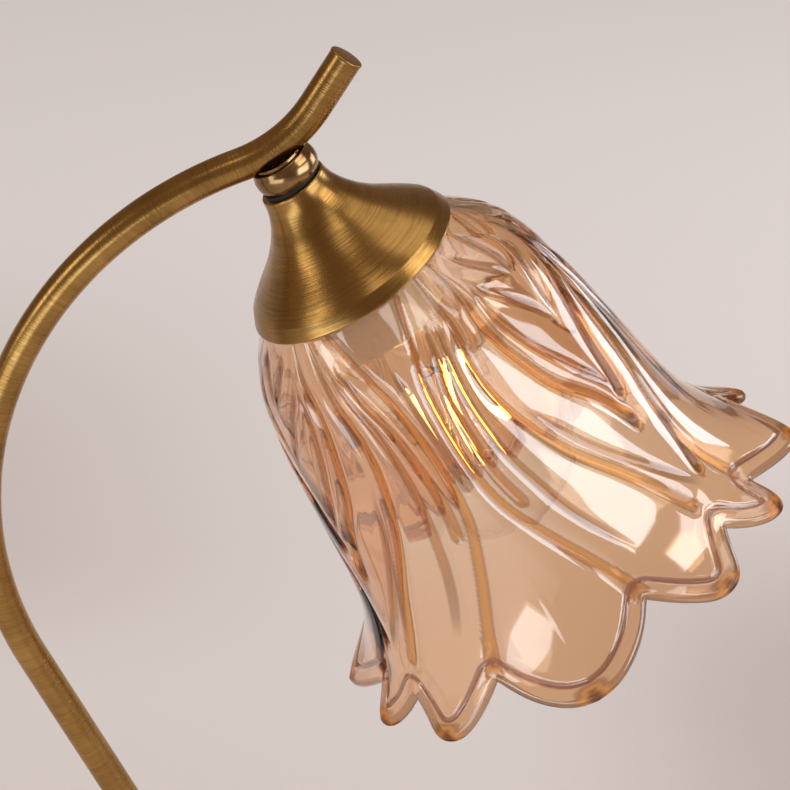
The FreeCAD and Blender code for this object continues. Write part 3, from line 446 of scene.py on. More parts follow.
@dataclass(frozen=True)
class Glass:
    """Clear or tinted glass, darker where it is thick, with painted shade along its veins where it
    has them.
    """

    name: str
    tint: Colour
    body: Colour
    density: float = 0.0
    roughness: float = 0.02
    ripple: float = 0.0
    ior: float = 1.5
    lustre: float = 0.0
    lustre_ior: float = 1.9
    # Colours of the painted shade: amber and dark along the veins, and dark along the rim's fold,
    # standing in for refraction lines.
    veins: tuple[Colour, Colour, Colour] | None = None
    mouth_tint: Colour | None = None
    mouth_span: tuple[float, float] = (0.055, 0.15)
    cloud_share: Colour = (0.99, 0.97, 0.94)

    def paint_vein_shade(self, tree: Tree, colour: Value) -> tuple[Value, Value]:
        """Paint the glass amber and dark along its veins and its rim's fold: painted shade for the
        lines that refraction makes there.

        Args:
            tree: The material's tree.
            colour: Colour of the plain glass.

        Returns:
            The colour, and how strong the lustre is left.
        """
        core, edge = tree.attribute("vein"), tree.attribute("edge")
        warm, dark, fold = self.veins
        # Painted shade: amber along the vein bottoms, dark on their flanks and far ends, and a dark
        # line along the rim's fold.
        flank, valley, brown = core.band(0.04, 0.18), core.band(0.26, 0.5), core.band(0.55, 0.95)
        colour = tree.mix(core.band(0.06, 0.42), colour, warm)
        colour = tree.mix(flank * (1.0 - valley) * 0.6, colour, dark)
        colour = tree.mix(brown, colour, dark)
        colour = tree.mix(edge.band(0.1, 0.8), colour, fold)
        return colour, self.lustre * (1.0 - core.band(0.1, 0.5) * 0.8)

    def build(self) -> bpy.types.Material:
        """Make the material."""
        tree = Tree(self.name)
        wave = tree.noise(tree.place(), 55.0, 2.0)
        speck = tree.noise(tree.place(), 420.0, 3.0)
        cloudy = tuple(c * share for c, share in zip(self.tint, self.cloud_share))
        colour = tree.mix(wave.band(0.3, 0.7), self.tint, cloudy)
        lustre = self.lustre
        if self.mouth_tint:
            down = HEAD.read(tree)[2].band(*self.mouth_span)
            colour = tree.mix(down, colour, self.mouth_tint)
        if self.veins:
            colour, lustre = self.paint_vein_shade(tree, colour)
        rough = self.roughness + speck.band(0.62, 0.8) * 0.05
        sockets = {"Base Color": colour, "Roughness": rough, "IOR": self.ior,
                   "Transmission Weight": 1.0, "Coat Weight": lustre,
                   "Coat IOR": self.lustre_ior, "Coat Roughness": 0.07}
        if self.ripple:
            sockets["Normal"] = tree.bump(wave + speck * 0.06, self.ripple)
        shader = tree.add("ShaderNodeBsdfPrincipled", None, sockets)
        volume = None
        if self.density:
            volume = tree.add("ShaderNodeVolumeAbsorption", None,
                              {"Color": (*self.body, 1.0), "Density": self.density})
        tree.add_output(shader, volume)
        return tree.material


@dataclass(frozen=True)
class Glow:
    """A lit filament rod, brighter in its middle."""

    name: str
    colour: Colour
    hot: Colour
    strength: float

    def build(self) -> bpy.types.Material:
        """Make the material."""
        tree = Tree(self.name)
        beads = tree.noise(tree.place(), 1500.0, 2.0)
        colour = tree.mix(beads.band(0.3, 0.7), self.colour, self.hot)
        return tree.finish(Base_Color=colour, Roughness=0.5, Emission_Color=colour,
                           Emission_Strength=self.strength)


class Finishes:
    """Every finish of the lamp by the record's slot, each made once."""

    def __init__(self) -> None:
        """List the finishes."""
        kinds = (
            BrushedBrass("cup_brass", Brush.ROUND_HEAD),
            # A lighter copy of the same antique brass: painted light, for the tube lit more than
            # the cup.
            BrushedBrass("lit_tube_brass", Brush.ACROSS_TUBE, (0.49, 0.28, 0.088),
                         (0.24, 0.128, 0.033)),
            BrushedBrass("antique_brass", Brush.ROUND_BASE),
            PolishedBrass("polished_brass", HEAD),
            PlainMetal("raw_brass", (0.72, 0.52, 0.24), (0.60, 0.40, 0.16), 0.22),
            PlainMetal("shell_brass", (0.72, 0.52, 0.24), (0.60, 0.40, 0.16), 0.20, pitch=0.0036),
            PlainMetal("zinc_steel", (0.62, 0.62, 0.60), (0.48, 0.48, 0.47), 0.30),
            PlainMetal("nipple_steel", (0.62, 0.62, 0.60), (0.46, 0.46, 0.45), 0.28, pitch=0.001,
                       thread=0.00018),
            PlainMetal("cast_iron", (0.055, 0.055, 0.058), (0.02, 0.02, 0.022), 0.6, grain=520.0,
                       depth=0.0004, metallic=0.35),
            Felt("felt", (0.016, 0.016, 0.018), (0.055, 0.055, 0.06)),
            Moulded("black_nylon", (0.006, 0.006, 0.006), (0.01, 0.01, 0.01), 0.62),
            Moulded("white_nylon", (0.70, 0.69, 0.64), (0.62, 0.60, 0.55), 0.45),
            Moulded("lead_sheath", (0.04, 0.036, 0.03), (0.06, 0.05, 0.04), 0.5),
            Moulded("wire_pvc", (0.26, 0.11, 0.05), (0.20, 0.08, 0.04), 0.4),
            Moulded("porcelain", (0.78, 0.72, 0.66), (0.72, 0.65, 0.58), 0.22, grain=500.0,
                    coat=0.6),
            Moulded("gasket_rubber", (0.55, 0.43, 0.33), (0.45, 0.34, 0.25), 0.6),
            # The three vein colours are painted shade: amber and dark refraction lines along the
            # veins, and the dark line along the rim's fold.
            Glass("champagne_glass", (1.0, 0.86, 0.70), (0.88, 0.50, 0.24), density=40.0,
                  roughness=0.01, ripple=0.0001, ior=1.14, lustre=1.0, veins=((0.80, 0.32, 0.075),
                  (0.11, 0.035, 0.013), (0.24, 0.085, 0.05)), mouth_tint=(0.98, 0.67, 0.41)),
            Glass("clear_glass", (0.985, 0.985, 0.98), (0.9, 0.9, 0.9), ior=1.16),
            Moulded("black_glass", (0.015, 0.014, 0.02), (0.03, 0.03, 0.04), 0.1, coat=0.8),
            PlainMetal("nickel", (0.70, 0.68, 0.64), (0.58, 0.56, 0.52), 0.16, pitch=0.0036),
            PlainMetal("wire_nickel", (0.70, 0.68, 0.64), (0.58, 0.56, 0.52), 0.2),
            PlainMetal("solder", (0.52, 0.52, 0.50), (0.38, 0.38, 0.37), 0.45),
            Glow("filament", (1.0, 0.46, 0.13), (1.0, 0.66, 0.28), 9.0),
        )
        self.kinds = {finish.name: finish for finish in kinds}
        self.made: dict[str, bpy.types.Material] = {}

    def get(self, name: str) -> bpy.types.Material:
        """The material of that name, made on first use."""
        if name not in self.made:
            self.made[name] = self.kinds[name].build()
        return self.made[name]


# ---------------------------------------------------------------- mesh helpers
def spline(points: Sequence[Sequence[float]], count: int) -> np.ndarray:
    """Sample a natural cubic through some points, evenly by chord length.

    Args:
        points: Points of any dimension.
        count: Number of samples.

    Returns:
        The samples, one a row.
    """
    known = np.asarray(points, float)
    steps = np.maximum(np.linalg.norm(np.diff(known, axis=0), axis=1), 1e-9)
    knots = np.concatenate([[0.0], np.cumsum(steps)])
    size = len(known)
    system, right = np.eye(size), np.zeros_like(known)
    for k in range(1, size - 1):
        before, after = steps[k - 1], steps[k]
        system[k, k - 1:k + 2] = before, 2 * (before + after), after
        right[k] = 6 * ((known[k + 1] - known[k]) / after - (known[k] - known[k - 1]) / before)
    bend = np.linalg.solve(system, right)
    at = np.linspace(0.0, knots[-1], count)
    k = np.clip(np.searchsorted(knots, at, side="right") - 1, 0, size - 2)
    width = steps[k][:, None]
    past, left = (at - knots[k])[:, None], (knots[k + 1] - at)[:, None]
    return (bend[k] * left ** 3 / (6 * width) + bend[k + 1] * past ** 3 / (6 * width)
            + (known[k] / width - bend[k] * width / 6) * left
            + (known[k + 1] / width - bend[k + 1] * width / 6) * past)


def curve(points: Profile, count: int) -> list[tuple[float, float, float]]:
    """A smooth stretch of an outline, as corners without a radius."""
    return [(float(r), float(h), 0.0) for r, h in spline(points, count)]


def rounded(corners: Sequence[tuple[float, float, float]], steps: int = 5) -> Profile:
    """Round the corners of a closed outline.

    Args:
        corners: Radius, height and corner radius of each corner.
        steps: Number of pieces in each rounded corner.

    Returns:
        The outline's points.
    """
    outline: Profile = []
    for k, (x, y, radius) in enumerate(corners):
        here = np.array([x, y])
        if radius <= 0:
            outline.append((x, y))
            continue
        before = np.array(corners[k - 1][:2]) - here
        after = np.array(corners[(k + 1) % len(corners)][:2]) - here
        before, after = before / np.linalg.norm(before), after / np.linalg.norm(after)
        half = math.acos(np.clip(before @ after, -1, 1)) / 2
        reach = radius / math.tan(half)
        start, end = here + before * reach, here + after * reach
        centre = here + (before + after) / np.linalg.norm(before + after) * radius / math.sin(half)
        a, b = start - centre, end - centre
        sweep = math.atan2(a[0] * b[1] - a[1] * b[0], a @ b)
        for share in np.linspace(0, 1, steps + 1):
            turn = sweep * share
            outline.append((centre[0] + a[0] * math.cos(turn) - a[1] * math.sin(turn),
                            centre[1] + a[0] * math.sin(turn) + a[1] * math.cos(turn)))
    return outline


def unit(values: np.ndarray) -> np.ndarray:
    """Numbers held between 0 and 1."""
    return np.clip(values, 0, 1)


def eased(share: np.ndarray) -> np.ndarray:
    """A share held between 0 and 1 and eased at both ends."""
    share = unit(share)
    return share * share * (3 - 2 * share)


def linked(name: str, data: Any) -> bpy.types.Object:
    """A new object of that data, in the scene."""
    made = bpy.data.objects.new(name, data)
    bpy.context.scene.collection.objects.link(made)
    return made


def make_object(name: str, points: np.ndarray, faces: Sequence[Sequence[int]],
                edge_angle: float = 40.0) -> bpy.types.Object:
    """Make a smooth mesh object whose closed surface faces outwards.

    Args:
        name: The object's name.
        points: Row-frame metres.
        faces: Corner numbers of each face.
        edge_angle: Angle in degrees past which an edge stays sharp.

    Returns:
        The object, at the origin.
    """
    mesh = bpy.data.meshes.new(name)
    mesh.from_pydata(points.tolist(), [], [tuple(f) for f in faces])
    mesh.validate()
    corners = np.zeros(len(mesh.vertices) * 3)
    mesh.vertices.foreach_get("co", corners)
    corners = corners.reshape(-1, 3)
    mesh.calc_loop_triangles()
    triangles = np.zeros(len(mesh.loop_triangles) * 3, int)
    mesh.loop_triangles.foreach_get("vertices", triangles)
    a, b, c = (corners[triangles.reshape(-1, 3)[:, k]] for k in range(3))
    if np.einsum("ij,ij->i", a, np.cross(b, c)).sum() < 0:
        mesh.flip_normals()
    mesh.shade_smooth()
    mesh.set_sharp_from_angle(angle=math.radians(edge_angle))
    return linked(name, mesh)


def turned(name: str, outline: Profile, place: Place, segments: int = 160) -> bpy.types.Object:
    """Turn a closed outline round an axis.

    Args:
        name: The object's name.
        outline: Radius and height of each point; a radius of 0 closes on the axis.
        place: Takes local millimetre points to the row frame.
        segments: Number of steps round the axis.

    Returns:
        The object.
    """
    angles = np.linspace(0, 2 * math.pi, segments, endpoint=False)
    rings, points = [], []
    for r, h in outline:
        first = len(points)
        if r < 1e-6:
            points.append((0.0, 0.0, h))
            rings.append([first] * segments)
        else:
            points += [(r * math.sin(t), r * math.cos(t), h) for t in angles]
            rings.append(list(range(first, first + segments)))
    faces = []
    for k, ring in enumerate(rings):
        after = rings[(k + 1) % len(rings)]
        if ring[0] == ring[1] and after[0] == after[1]:
            continue
        for j in range(segments):
            n = (j + 1) % segments
            face = [ring[j], ring[n], after[n], after[j]]
            faces.append(list(dict.fromkeys(face)))
    return make_object(name, place(np.array(points)), faces)


def settled(made: bpy.types.Object) -> bpy.types.Object:
    """Turn what an object's modifiers make into its plain mesh."""
    graph = bpy.context.evaluated_depsgraph_get()
    mesh = bpy.data.meshes.new_from_object(made.evaluated_get(graph))
    made.modifiers.clear()
    made.data = mesh
    return made


class Dresser:
    """Hands each piece its finish, its body and the node it stands for."""

    def __init__(self, finishes: Finishes) -> None:
        """Keep the finishes and the frame's nodes."""
        self.finishes = finishes
        self.nodes = frame["nodes"]
        self.left = set(self.nodes)

    def new(self, piece: bpy.types.Object, finish: str, slot: str, body: str,
            *nodes: str) -> None:
        """Dress a piece made here.

        Args:
            piece: The object.
            finish: Name of its finish.
            slot: The record's slot that the finish belongs to; not used.
            body: The CAD body it rides on.
            nodes: CAD nodes that it stands for.
        """
        piece.data.materials.clear()
        piece.data.materials.append(self.finishes.get(finish))
        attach(piece, body)
        if nodes:
            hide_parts(*nodes)
        self.left -= set(nodes)
        LOG.info("piece %s: finish %s, rides on %s", piece.name, finish, body)

    def keep(self, node: str, finish: str) -> None:
        """Give a CAD node that stays its finish."""
        for slot in self.nodes[node].material_slots:
            slot.material = self.finishes.get(finish)
        self.left.discard(node)
        LOG.info("node %s: finish %s", node, finish)

    def keep_rest(self) -> None:
        """Give every node that is left the finish named by its slot."""
        slots = {row["node"]: row["material_slot"] for row in frame["record"]["subparts"]}
        for node in sorted(self.left):
            self.keep(node, slots[node])


# ---------------------------------------------------------------- geometry nodes
class Recipe:
    """A Geometry Nodes tree built in the script."""

    def __init__(self, name: str) -> None:
        """Make a tree with a geometry input and output."""
        self.tree = bpy.data.node_groups.new(name, "GeometryNodeTree")
        for side in ("INPUT", "OUTPUT"):
            self.tree.interface.new_socket("Geometry", in_out=side,
                                           socket_type="NodeSocketGeometry")
        self.start = self.tree.nodes.new("NodeGroupInput")
        self.ids: dict[str, str] = {}

    def number(self, name: str, kind: str = "NodeSocketFloat") -> None:
        """Add a named input."""
        socket = self.tree.interface.new_socket(name, in_out="INPUT", socket_type=kind)
        self.ids[name] = socket.identifier

    def given(self, name: str) -> bpy.types.NodeSocket:
        """The socket of a named input."""
        return self.start.outputs[name]

    def node(self, kind: str, settings: dict[str, Any] | None = None,
             inputs: dict[int | str, Any] | None = None) -> bpy.types.Node:
        """Add a node.

        Args:
            kind: The node's type.
            settings: Its properties.
            inputs: Socket index or name, with a socket to link or a plain value.

        Returns:
            The node.
        """
        node = self.tree.nodes.new(kind)
        for key, setting in (settings or {}).items():
            setattr(node, key, setting)
        for key, source in (inputs or {}).items():
            if isinstance(source, bpy.types.NodeSocket):
                self.tree.links.new(source, node.inputs[key])
            else:
                node.inputs[key].default_value = source
        return node

    def close(self, geometry: bpy.types.NodeSocket) -> None:
        """End in Realize Instances and Set Material."""
        self.number("Finish", "NodeSocketMaterial")
        real = self.node("GeometryNodeRealizeInstances", None, {0: geometry})
        dressed = self.node("GeometryNodeSetMaterial", None,
                            {0: real.outputs[0], "Material": self.given("Finish")})
        end = self.tree.nodes.new("NodeGroupOutput")
        self.tree.links.new(dressed.outputs[0], end.inputs[0])

    def apply(self, piece: bpy.types.Object, **values: Any) -> bpy.types.Object:
        """Run the tree on an object and keep the result as its mesh.

        Args:
            piece: The object.
            values: The named inputs, with underscores for spaces.

        Returns:
            The object.
        """
        modifier = piece.modifiers.new("recipe", "NODES")
        modifier.node_group = self.tree
        for name, value in values.items():
            modifier[self.ids[name.replace("_", " ")]] = value
        return settled(piece)


def swept_tube() -> Recipe:
    """A hollow tube along an edge path, with its run stored in metres."""
    recipe = Recipe("swept_tube")
    for name in ("Radius", "Bore", "Spacing"):
        recipe.number(name)
    curve = recipe.node("GeometryNodeMeshToCurve", None, {0: recipe.given("Geometry")})
    even = recipe.node("GeometryNodeResampleCurve", {"mode": "LENGTH"},
                       {0: curve.outputs[0], "Length": recipe.given("Spacing")})
    along = recipe.node("GeometryNodeSplineParameter")
    marked = recipe.node("GeometryNodeStoreNamedAttribute",
                         {"data_type": "FLOAT", "domain": "POINT"},
                         {0: even.outputs[0], "Name": "run", "Value": along.outputs["Length"]})
    walls = recipe.node("GeometryNodeJoinGeometry")
    for size in ("Radius", "Bore"):
        ring = recipe.node("GeometryNodeCurvePrimitiveCircle", {"mode": "RADIUS"},
                           {"Resolution": 72, "Radius": recipe.given(size)})
        wall = recipe.node("GeometryNodeCurveToMesh", None,
                           {0: marked.outputs[0], 1: ring.outputs[0]})
        out = wall.outputs[0]
        if size == "Bore":
            out = recipe.node("GeometryNodeFlipFaces", None, {0: out}).outputs[0]
        recipe.tree.links.new(out, walls.inputs[0])
    recipe.close(walls.outputs[0])
    return recipe


def ring_of_copies() -> Recipe:
    """Copies of one mesh in a ring round its own Z axis."""
    recipe = Recipe("ring_of_copies")
    recipe.number("Count", "NodeSocketInt")
    recipe.number("Radius")
    recipe.number("First Angle")
    circle = recipe.node("GeometryNodeMeshCircle", None,
                         {"Vertices": recipe.given("Count"), "Radius": recipe.given("Radius")})
    turn = recipe.node("ShaderNodeCombineXYZ", None, {2: recipe.given("First Angle")})
    facing = recipe.node("GeometryNodeTransform", None,
                         {0: circle.outputs[0], "Rotation": turn.outputs[0]})
    place = recipe.node("GeometryNodeInputPosition")
    parts = recipe.node("ShaderNodeSeparateXYZ", None, {0: place.outputs[0]})
    angle = recipe.node("ShaderNodeMath", {"operation": "ARCTAN2"},
                        {0: parts.outputs[1], 1: parts.outputs[0]})
    spin = recipe.node("ShaderNodeCombineXYZ", None, {2: angle.outputs[0]})
    copies = recipe.node("GeometryNodeInstanceOnPoints", None,
                         {"Points": facing.outputs[0], "Instance": recipe.given("Geometry"),
                          "Rotation": spin.outputs[0]})
    recipe.close(copies.outputs[0])
    return recipe


# ---------------------------------------------------------------- the arm
@dataclass
class Arm:
    """Bent brass tube with its end cap and turned foot."""

    radius: float = 5.0
    bore: float = 4.0
    foot_z: float = 25.5
    foot_run: float = 20.5
    foot_bend: tuple[float, float] = (70.0, 25.0)
    lower_run: float = 146.0
    sweep: tuple[float, float] = (121.0, -95.7)
    tip_bend: tuple[float, float] = (44.0, 38.4)
    tip_run: float = 16.2
    cap_proud: float = 0.12
    cap_thickness: float = 1.0
    plug: float = 3.5
    plug_play: float = 0.05
    path: list[tuple[float, float]] = field(default_factory=list)
    heading: float = 90.0

    def ahead(self, length: float) -> None:
        """Add a straight run to the path."""
        x, z = self.path[-1]
        turn = math.radians(self.heading)
        self.path.append((x + length * math.cos(turn), z + length * math.sin(turn)))

    def bend(self, radius: float, angle: float) -> None:
        """Add a tangent arc, turning left for a positive angle."""
        steps = max(2, round(abs(angle)))
        step = angle / steps
        chord = 2 * radius * math.sin(math.radians(abs(step)) / 2)
        for _ in range(steps):
            self.heading += step / 2
            self.ahead(chord)
            self.heading += step / 2

    def trace(self) -> None:
        """Lay out the centreline from foot to tip."""
        self.path, self.heading = [(0.0, self.foot_z)], 90.0
        self.ahead(self.foot_run)
        self.bend(*self.foot_bend)
        self.ahead(self.lower_run)
        self.bend(*self.sweep)
        self.bend(*self.tip_bend)
        self.ahead(self.tip_run)

    def tube(self, finish: bpy.types.Material) -> bpy.types.Object:
        """The tube, open at both ends."""
        points = np.array([(x * MM, 0.0, z * MM) for x, z in self.path])
        mesh = bpy.data.meshes.new("brass_tube")
        mesh.from_pydata(points.tolist(), [(k, k + 1) for k in range(len(points) - 1)], [])
        piece = linked("brass_tube", mesh)
        swept_tube().apply(piece, Radius=self.radius * MM, Bore=self.bore * MM,
                           Spacing=1.2 * MM, Finish=finish)
        piece.data.shade_smooth()
        return piece

    def cap(self) -> bpy.types.Object:
        """The disc that closes the tip."""
        x, z = self.path[-1]
        axis = Axis(x, z, 90.0 + self.heading)
        disc, plug = self.radius + self.cap_proud, self.bore - self.plug_play
        outline = rounded([(0, -self.plug, 0), (plug, -self.plug, 0.3), (plug, 0, 0),
                           (disc, 0, 0.12), (disc, self.cap_thickness, 0.35),
                           (0, self.cap_thickness, 0)])
        return turned("tip_cap", outline, axis.place, 96)

    def foot(self) -> bpy.types.Object:
        """The turned ferrule round the tube's foot."""
        z, r = self.foot_z, self.radius + self.plug_play
        ogee = curve([(12.5, z + 3.5), (10.0, z + 4.3), (8.5, z + 6.1), (7.7, z + 8.2),
                      (7.4, z + 10.0)], 14)
        outline = rounded([(r, z, 0), (14.0, z, 0.2), (14.0, z + 2.4, 0.7), (12.5, z + 2.4, 0.1),
                           *ogee, (8.2, z + 10.0, 0.2), (8.2, z + 12.2, 0.5),
                           (7.4, z + 13.0, 0.1), (r, z + 13.0, 0)])
        return turned("arm_foot", outline, flat_place, 144)

    def build(self, dresser: Dresser) -> None:
        """Make and dress the arm's pieces."""
        self.trace()
        tube = self.tube(dresser.finishes.get("lit_tube_brass"))
        dresser.new(tube, "lit_tube_brass", "antique_brass", "stand", "arm_tube")
        dresser.new(self.cap(), "lit_tube_brass", "antique_brass", "stand", "arm_end_cap")
        dresser.new(self.foot(), "antique_brass", "antique_brass", "stand", "arm_ferrule")


def flat_place(points: np.ndarray) -> np.ndarray:
    """Row-frame metres of millimetre points about the upright axis."""
    return points * MM


# ---------------------------------------------------------------- the head
@dataclass
class Collar:
    """Barrel under the arm with a thin saddle sleeve cut to the tube."""

    aside: float = 0.9
    tube: float = 5.35
    tube_bend: float = 44.0
    sleeve: tuple[float, float] = (7.9, 7.2)
    sleeve_top: float = 2.6
    floor: float = 6.4

    def saddle(self, points: np.ndarray) -> np.ndarray:
        """Local points with the sleeve's top edge cut to the tube."""
        x, y, h = points.T
        sag = self.tube_bend - np.sqrt(self.tube_bend ** 2 - x ** 2)
        cut = np.sqrt(np.maximum(self.tube ** 2 - y ** 2, 0)) - sag
        h = np.where(h < self.floor - 1, np.maximum(h, cut), h)
        return np.stack([x + self.aside, y, h], 1)

    def place(self, points: np.ndarray) -> np.ndarray:
        """Row-frame metres of the barrel's points."""
        return HEAD.place(points + (self.aside, 0, 0))

    def build(self, dresser: Dresser) -> None:
        """Make and dress the barrel and its sleeve."""
        side = curve([(9.35, 4.4), (9.9, 5.7), (10.15, 7.4), (9.95, 9.2), (9.5, 10.3)], 16)
        barrel = rounded([(8.3, 3.6, 0.25), (9.05, 3.6, 0.3), *side, (9.2, 10.9, 0.3),
                          (5.5, 10.9, 0), (5.5, self.floor, 0), (8.3, self.floor, 0)])
        piece = turned("collar_barrel", barrel, self.place, 160)
        dresser.new(piece, "polished_brass", "polished_brass", "stand", "neck_collar")
        outer, inner = self.sleeve
        outline = rounded([(inner, self.sleeve_top, 0.2), (outer, self.sleeve_top, 0.2),
                           (outer, self.floor - 0.1, 0), (inner, self.floor - 0.1, 0)])
        sleeve = turned("collar_sleeve", outline,
                        lambda points: HEAD.place(self.saddle(points)), 200)
        dresser.new(sleeve, "polished_brass", "polished_brass", "stand")


@dataclass
class Cup:
    """Flared brass cup with a narrow upright band at its rim."""

    top: float = 12.0
    wall: float = 1.2
    hole: float = 4.15
    flare: tuple[tuple[float, float], ...] = ((0.0, 10.35), (3.0, 10.75), (8.0, 12.6), (13.0, 15.7),
                                              (18.0, 20.0), (23.0, 25.6), (28.0, 31.3),
                                              (29.2, 32.5))
    rim: tuple[float, float] = (33.4, 34.7)

    def outline(self) -> Profile:
        """Closed outline, outer side first."""
        outer = spline([(r, self.top + d) for d, r in self.flare], 48)
        slope = np.gradient(outer, axis=0)
        slope /= np.linalg.norm(slope, axis=1)[:, None]
        inner = outer - self.wall * np.stack([slope[:, 1], -slope[:, 0]], 1)
        inner = inner[inner[:, 1] > self.top + self.wall]
        rim_h, rim_r = self.top + self.rim[0], self.rim[1]
        floor = self.top + self.wall
        return rounded([(self.hole, self.top, 0), (*outer[0], 0.5), *((*p, 0) for p in outer[1:-1]),
                        (*outer[-1], 0.5), (rim_r, rim_h, 0.35), (rim_r - self.wall, rim_h, 0.3),
                        *((*p, 0) for p in inner[::-1]), (inner[0][0], floor, 0),
                        (self.hole, floor, 0)])

    def build(self, dresser: Dresser) -> None:
        """Make and dress the cup."""
        cup = turned("flared_cup", self.outline(), HEAD.place, 256)
        dresser.new(cup, "cup_brass", "antique_brass", "head", "holder_cup")


@dataclass(frozen=True)
class Groove:
    """One pressed vein: height and angle along it, half width and depth.

    Its bottom is painted amber, and painted brown from the share of its length in dark_from:
    painted shade for the lines that refraction makes in it.
    """

    path: tuple[tuple[float, float], ...]
    half: float
    depth: float
    start: float = 0.25
    blunt: bool = False
    dark_from: float = 2.0


@dataclass
class Shade:
    """Pressed glass bell whose flared rim is cut into twelve petals.

    Angles are in degrees from the middle of the broad petal to the middle of the
    side petal, one quarter of the shade; the other quarters mirror it.
    """

    top: float = 41.0
    wall: float = 3.2
    hole: float = 20.2
    facing: float = -3.0
    offset: tuple[tuple[float, float], ...] = ((41.0, 0.0), (46.0, 0.5), (58.0, 1.7), (180.0, 1.7))
    meridian: tuple[tuple[float, float], ...] = (
        (0.0, 27.0), (2.0, 30.2), (4.4, 32.7), (11.0, 38.8), (19.0, 45.0), (31.0, 49.4),
        (47.0, 52.8), (64.0, 55.3), (84.0, 57.8), (104.0, 62.0), (113.0, 65.8), (119.0, 69.2),
        (124.0, 73.8), (128.3, 79.6), (131.5, 84.6))
    lip: float = 4.0
    rim: tuple[tuple[tuple[float, float], ...], ...] = (
        ((0.0, 169.3), (5.0, 168.7), (10.0, 167.1), (15.0, 164.6), (19.5, 161.4), (22.8, 158.4)),
        ((22.8, 158.4), (26.5, 162.0), (31.0, 165.9), (35.0, 168.4), (39.0, 169.2),
         (43.0, 168.4), (46.5, 165.9), (49.6, 163.4), (52.1, 161.4)),
        ((52.1, 161.4), (54.6, 164.4), (57.8, 167.3), (61.6, 169.3), (64.8, 169.5),
         (67.0, 168.2), (68.6, 166.0), (69.7, 162.6)),
        ((69.7, 162.6), (73.0, 164.2), (77.4, 166.4), (82.2, 168.8), (86.4, 170.6), (90.0, 171.8)))
    columns: tuple[int, ...] = (32, 44, 40, 34)
    grooves: tuple[Groove, ...] = (
        Groove(((58, 0), (70, 0), (85, 0), (100, 0)), 3.0, 0.9, blunt=True),
        Groove(((46, 21), (52, 15), (57, 11.5), (64, 8), (72, 5.8), (82, 4.4), (91, 3.9),
                (101, 4.3), (112, 6.2), (121, 9.5), (132, 14), (143, 18.6), (157, 22.6)), 3.8, 2.1,
               start=0.7, blunt=True, dark_from=0.9),
        Groove(((54, 21.5), (57, 19), (64, 16), (72, 12.5), (81, 10.5), (90, 9.7), (98, 9.4),
                (105, 10), (113, 11.5)), 3.0, 1.3, blunt=True),
        Groove(((52, 27), (56, 24.5), (62, 21), (70, 18), (79, 16), (89, 15.5), (98, 16),
                (109, 18), (122, 21), (134, 25), (146, 30)), 3.4, 1.2),
        Groove(((46, 34), (53, 30), (59, 28), (67, 25.5), (75, 24), (83, 24), (91, 25.5),
                (101, 28.5), (112, 33), (123, 39), (137, 46), (151, 51.0)), 3.8, 2.1, blunt=True),
        Groove(((90, 29), (102, 33.5), (121, 42.5), (139, 53), (152, 60)), 3.0, 1.1),
        Groove(((46, 44), (53, 41), (58, 38.5), (62, 37), (68, 36.5), (75, 37.5), (83, 39.5),
                (92, 42.5), (99, 46.5), (106, 51), (115, 55), (122, 57.5)), 3.4, 1.8, blunt=True,
               dark_from=0.88),
        Groove(((54, 46), (63, 42.5), (72, 43.5), (80, 46), (88, 49.5), (96, 53.5), (105, 58),
                (112, 61)), 2.8, 1.3),
        Groove(((54, 46), (60, 48), (64, 51), (69, 54), (75, 57.5), (82, 61)), 2.4, 1.0),
        Groove(((54, 76), (60, 74), (66, 70), (73, 66), (82, 61)), 2.4, 1.0),
        Groove(((48, 53), (54, 56), (64, 62)), 2.0, 0.8),
        Groove(((48, 70), (54, 67), (64, 62)), 2.0, 0.8),
        Groove(((54, 87), (66, 84), (74, 80), (78, 76), (83, 72), (88, 69), (94, 66), (101, 64),
                (107, 62.5), (112, 61)), 3.8, 1.6, blunt=True, dark_from=0.36),
        Groove(((60, 87), (74, 85.5), (80, 84), (87, 81.5), (96, 79), (104, 77), (111, 75),
                (119, 72), (128, 69.5), (138, 68.2), (148, 68), (158, 69.4)), 4.0, 1.8,
               start=0.7, blunt=True),
        Groove(((112, 75), (120, 72), (130, 69), (140, 66), (147, 63)), 3.4, 1.9, blunt=True,
               dark_from=0.42),
        Groove(((58, 90), (80, 90), (100, 90), (125, 90), (150, 90)), 3.4, 1.5, dark_from=0.42),
    )
    band: float = 6.2
    band_groove: tuple[float, float] = (1.4, 1.0)
    tips: tuple[float, ...] = (0.0, 39.0, 63.5, 90.0)
    far_rows: int = 90
    near_step: float = 0.45
    near_reach: float = 9.0
    pull_reach: float = 36.0
    inner_rows: int = 30
    lip_rows: int = 8
    flank: float = 2.4
    valley: float = 0.65
    sharp: float = 4.0
    seam_from: float = 122.0
    seam_height: float = 0.16
    neck_radius: float = 26.4
    neck_edge: float = 0.3

    def __post_init__(self) -> None:
        """Sample the meridian for quick reading."""
        curve = spline([(r, self.top + d) for d, r in self.meridian], 500)
        self.curve_r, self.curve_h = curve[:, 0], curve[:, 1]
        steps = np.hypot(np.diff(self.curve_r), np.diff(self.curve_h))
        self.curve_s = np.concatenate([[0.0], np.cumsum(steps)])
        slope_r = np.gradient(self.curve_r, self.curve_s)
        self.curve_lean = np.arctan2(slope_r, np.gradient(self.curve_h, self.curve_s))

    def radius(self, h: np.ndarray) -> np.ndarray:
        """Radius of the plain outer surface at a height."""
        return np.interp(h, self.curve_h, self.curve_r)

    def run(self, h: np.ndarray) -> np.ndarray:
        """Length along the meridian down to a height."""
        return np.interp(h, self.curve_h, self.curve_s)

    def height(self, run: np.ndarray) -> np.ndarray:
        """Height at a length along the meridian."""
        return np.interp(run, self.curve_s, self.curve_h)

    def lean(self, h: np.ndarray) -> np.ndarray:
        """Outward lean of the surface from the axis, in radians."""
        return np.interp(h, self.curve_h, self.curve_lean)

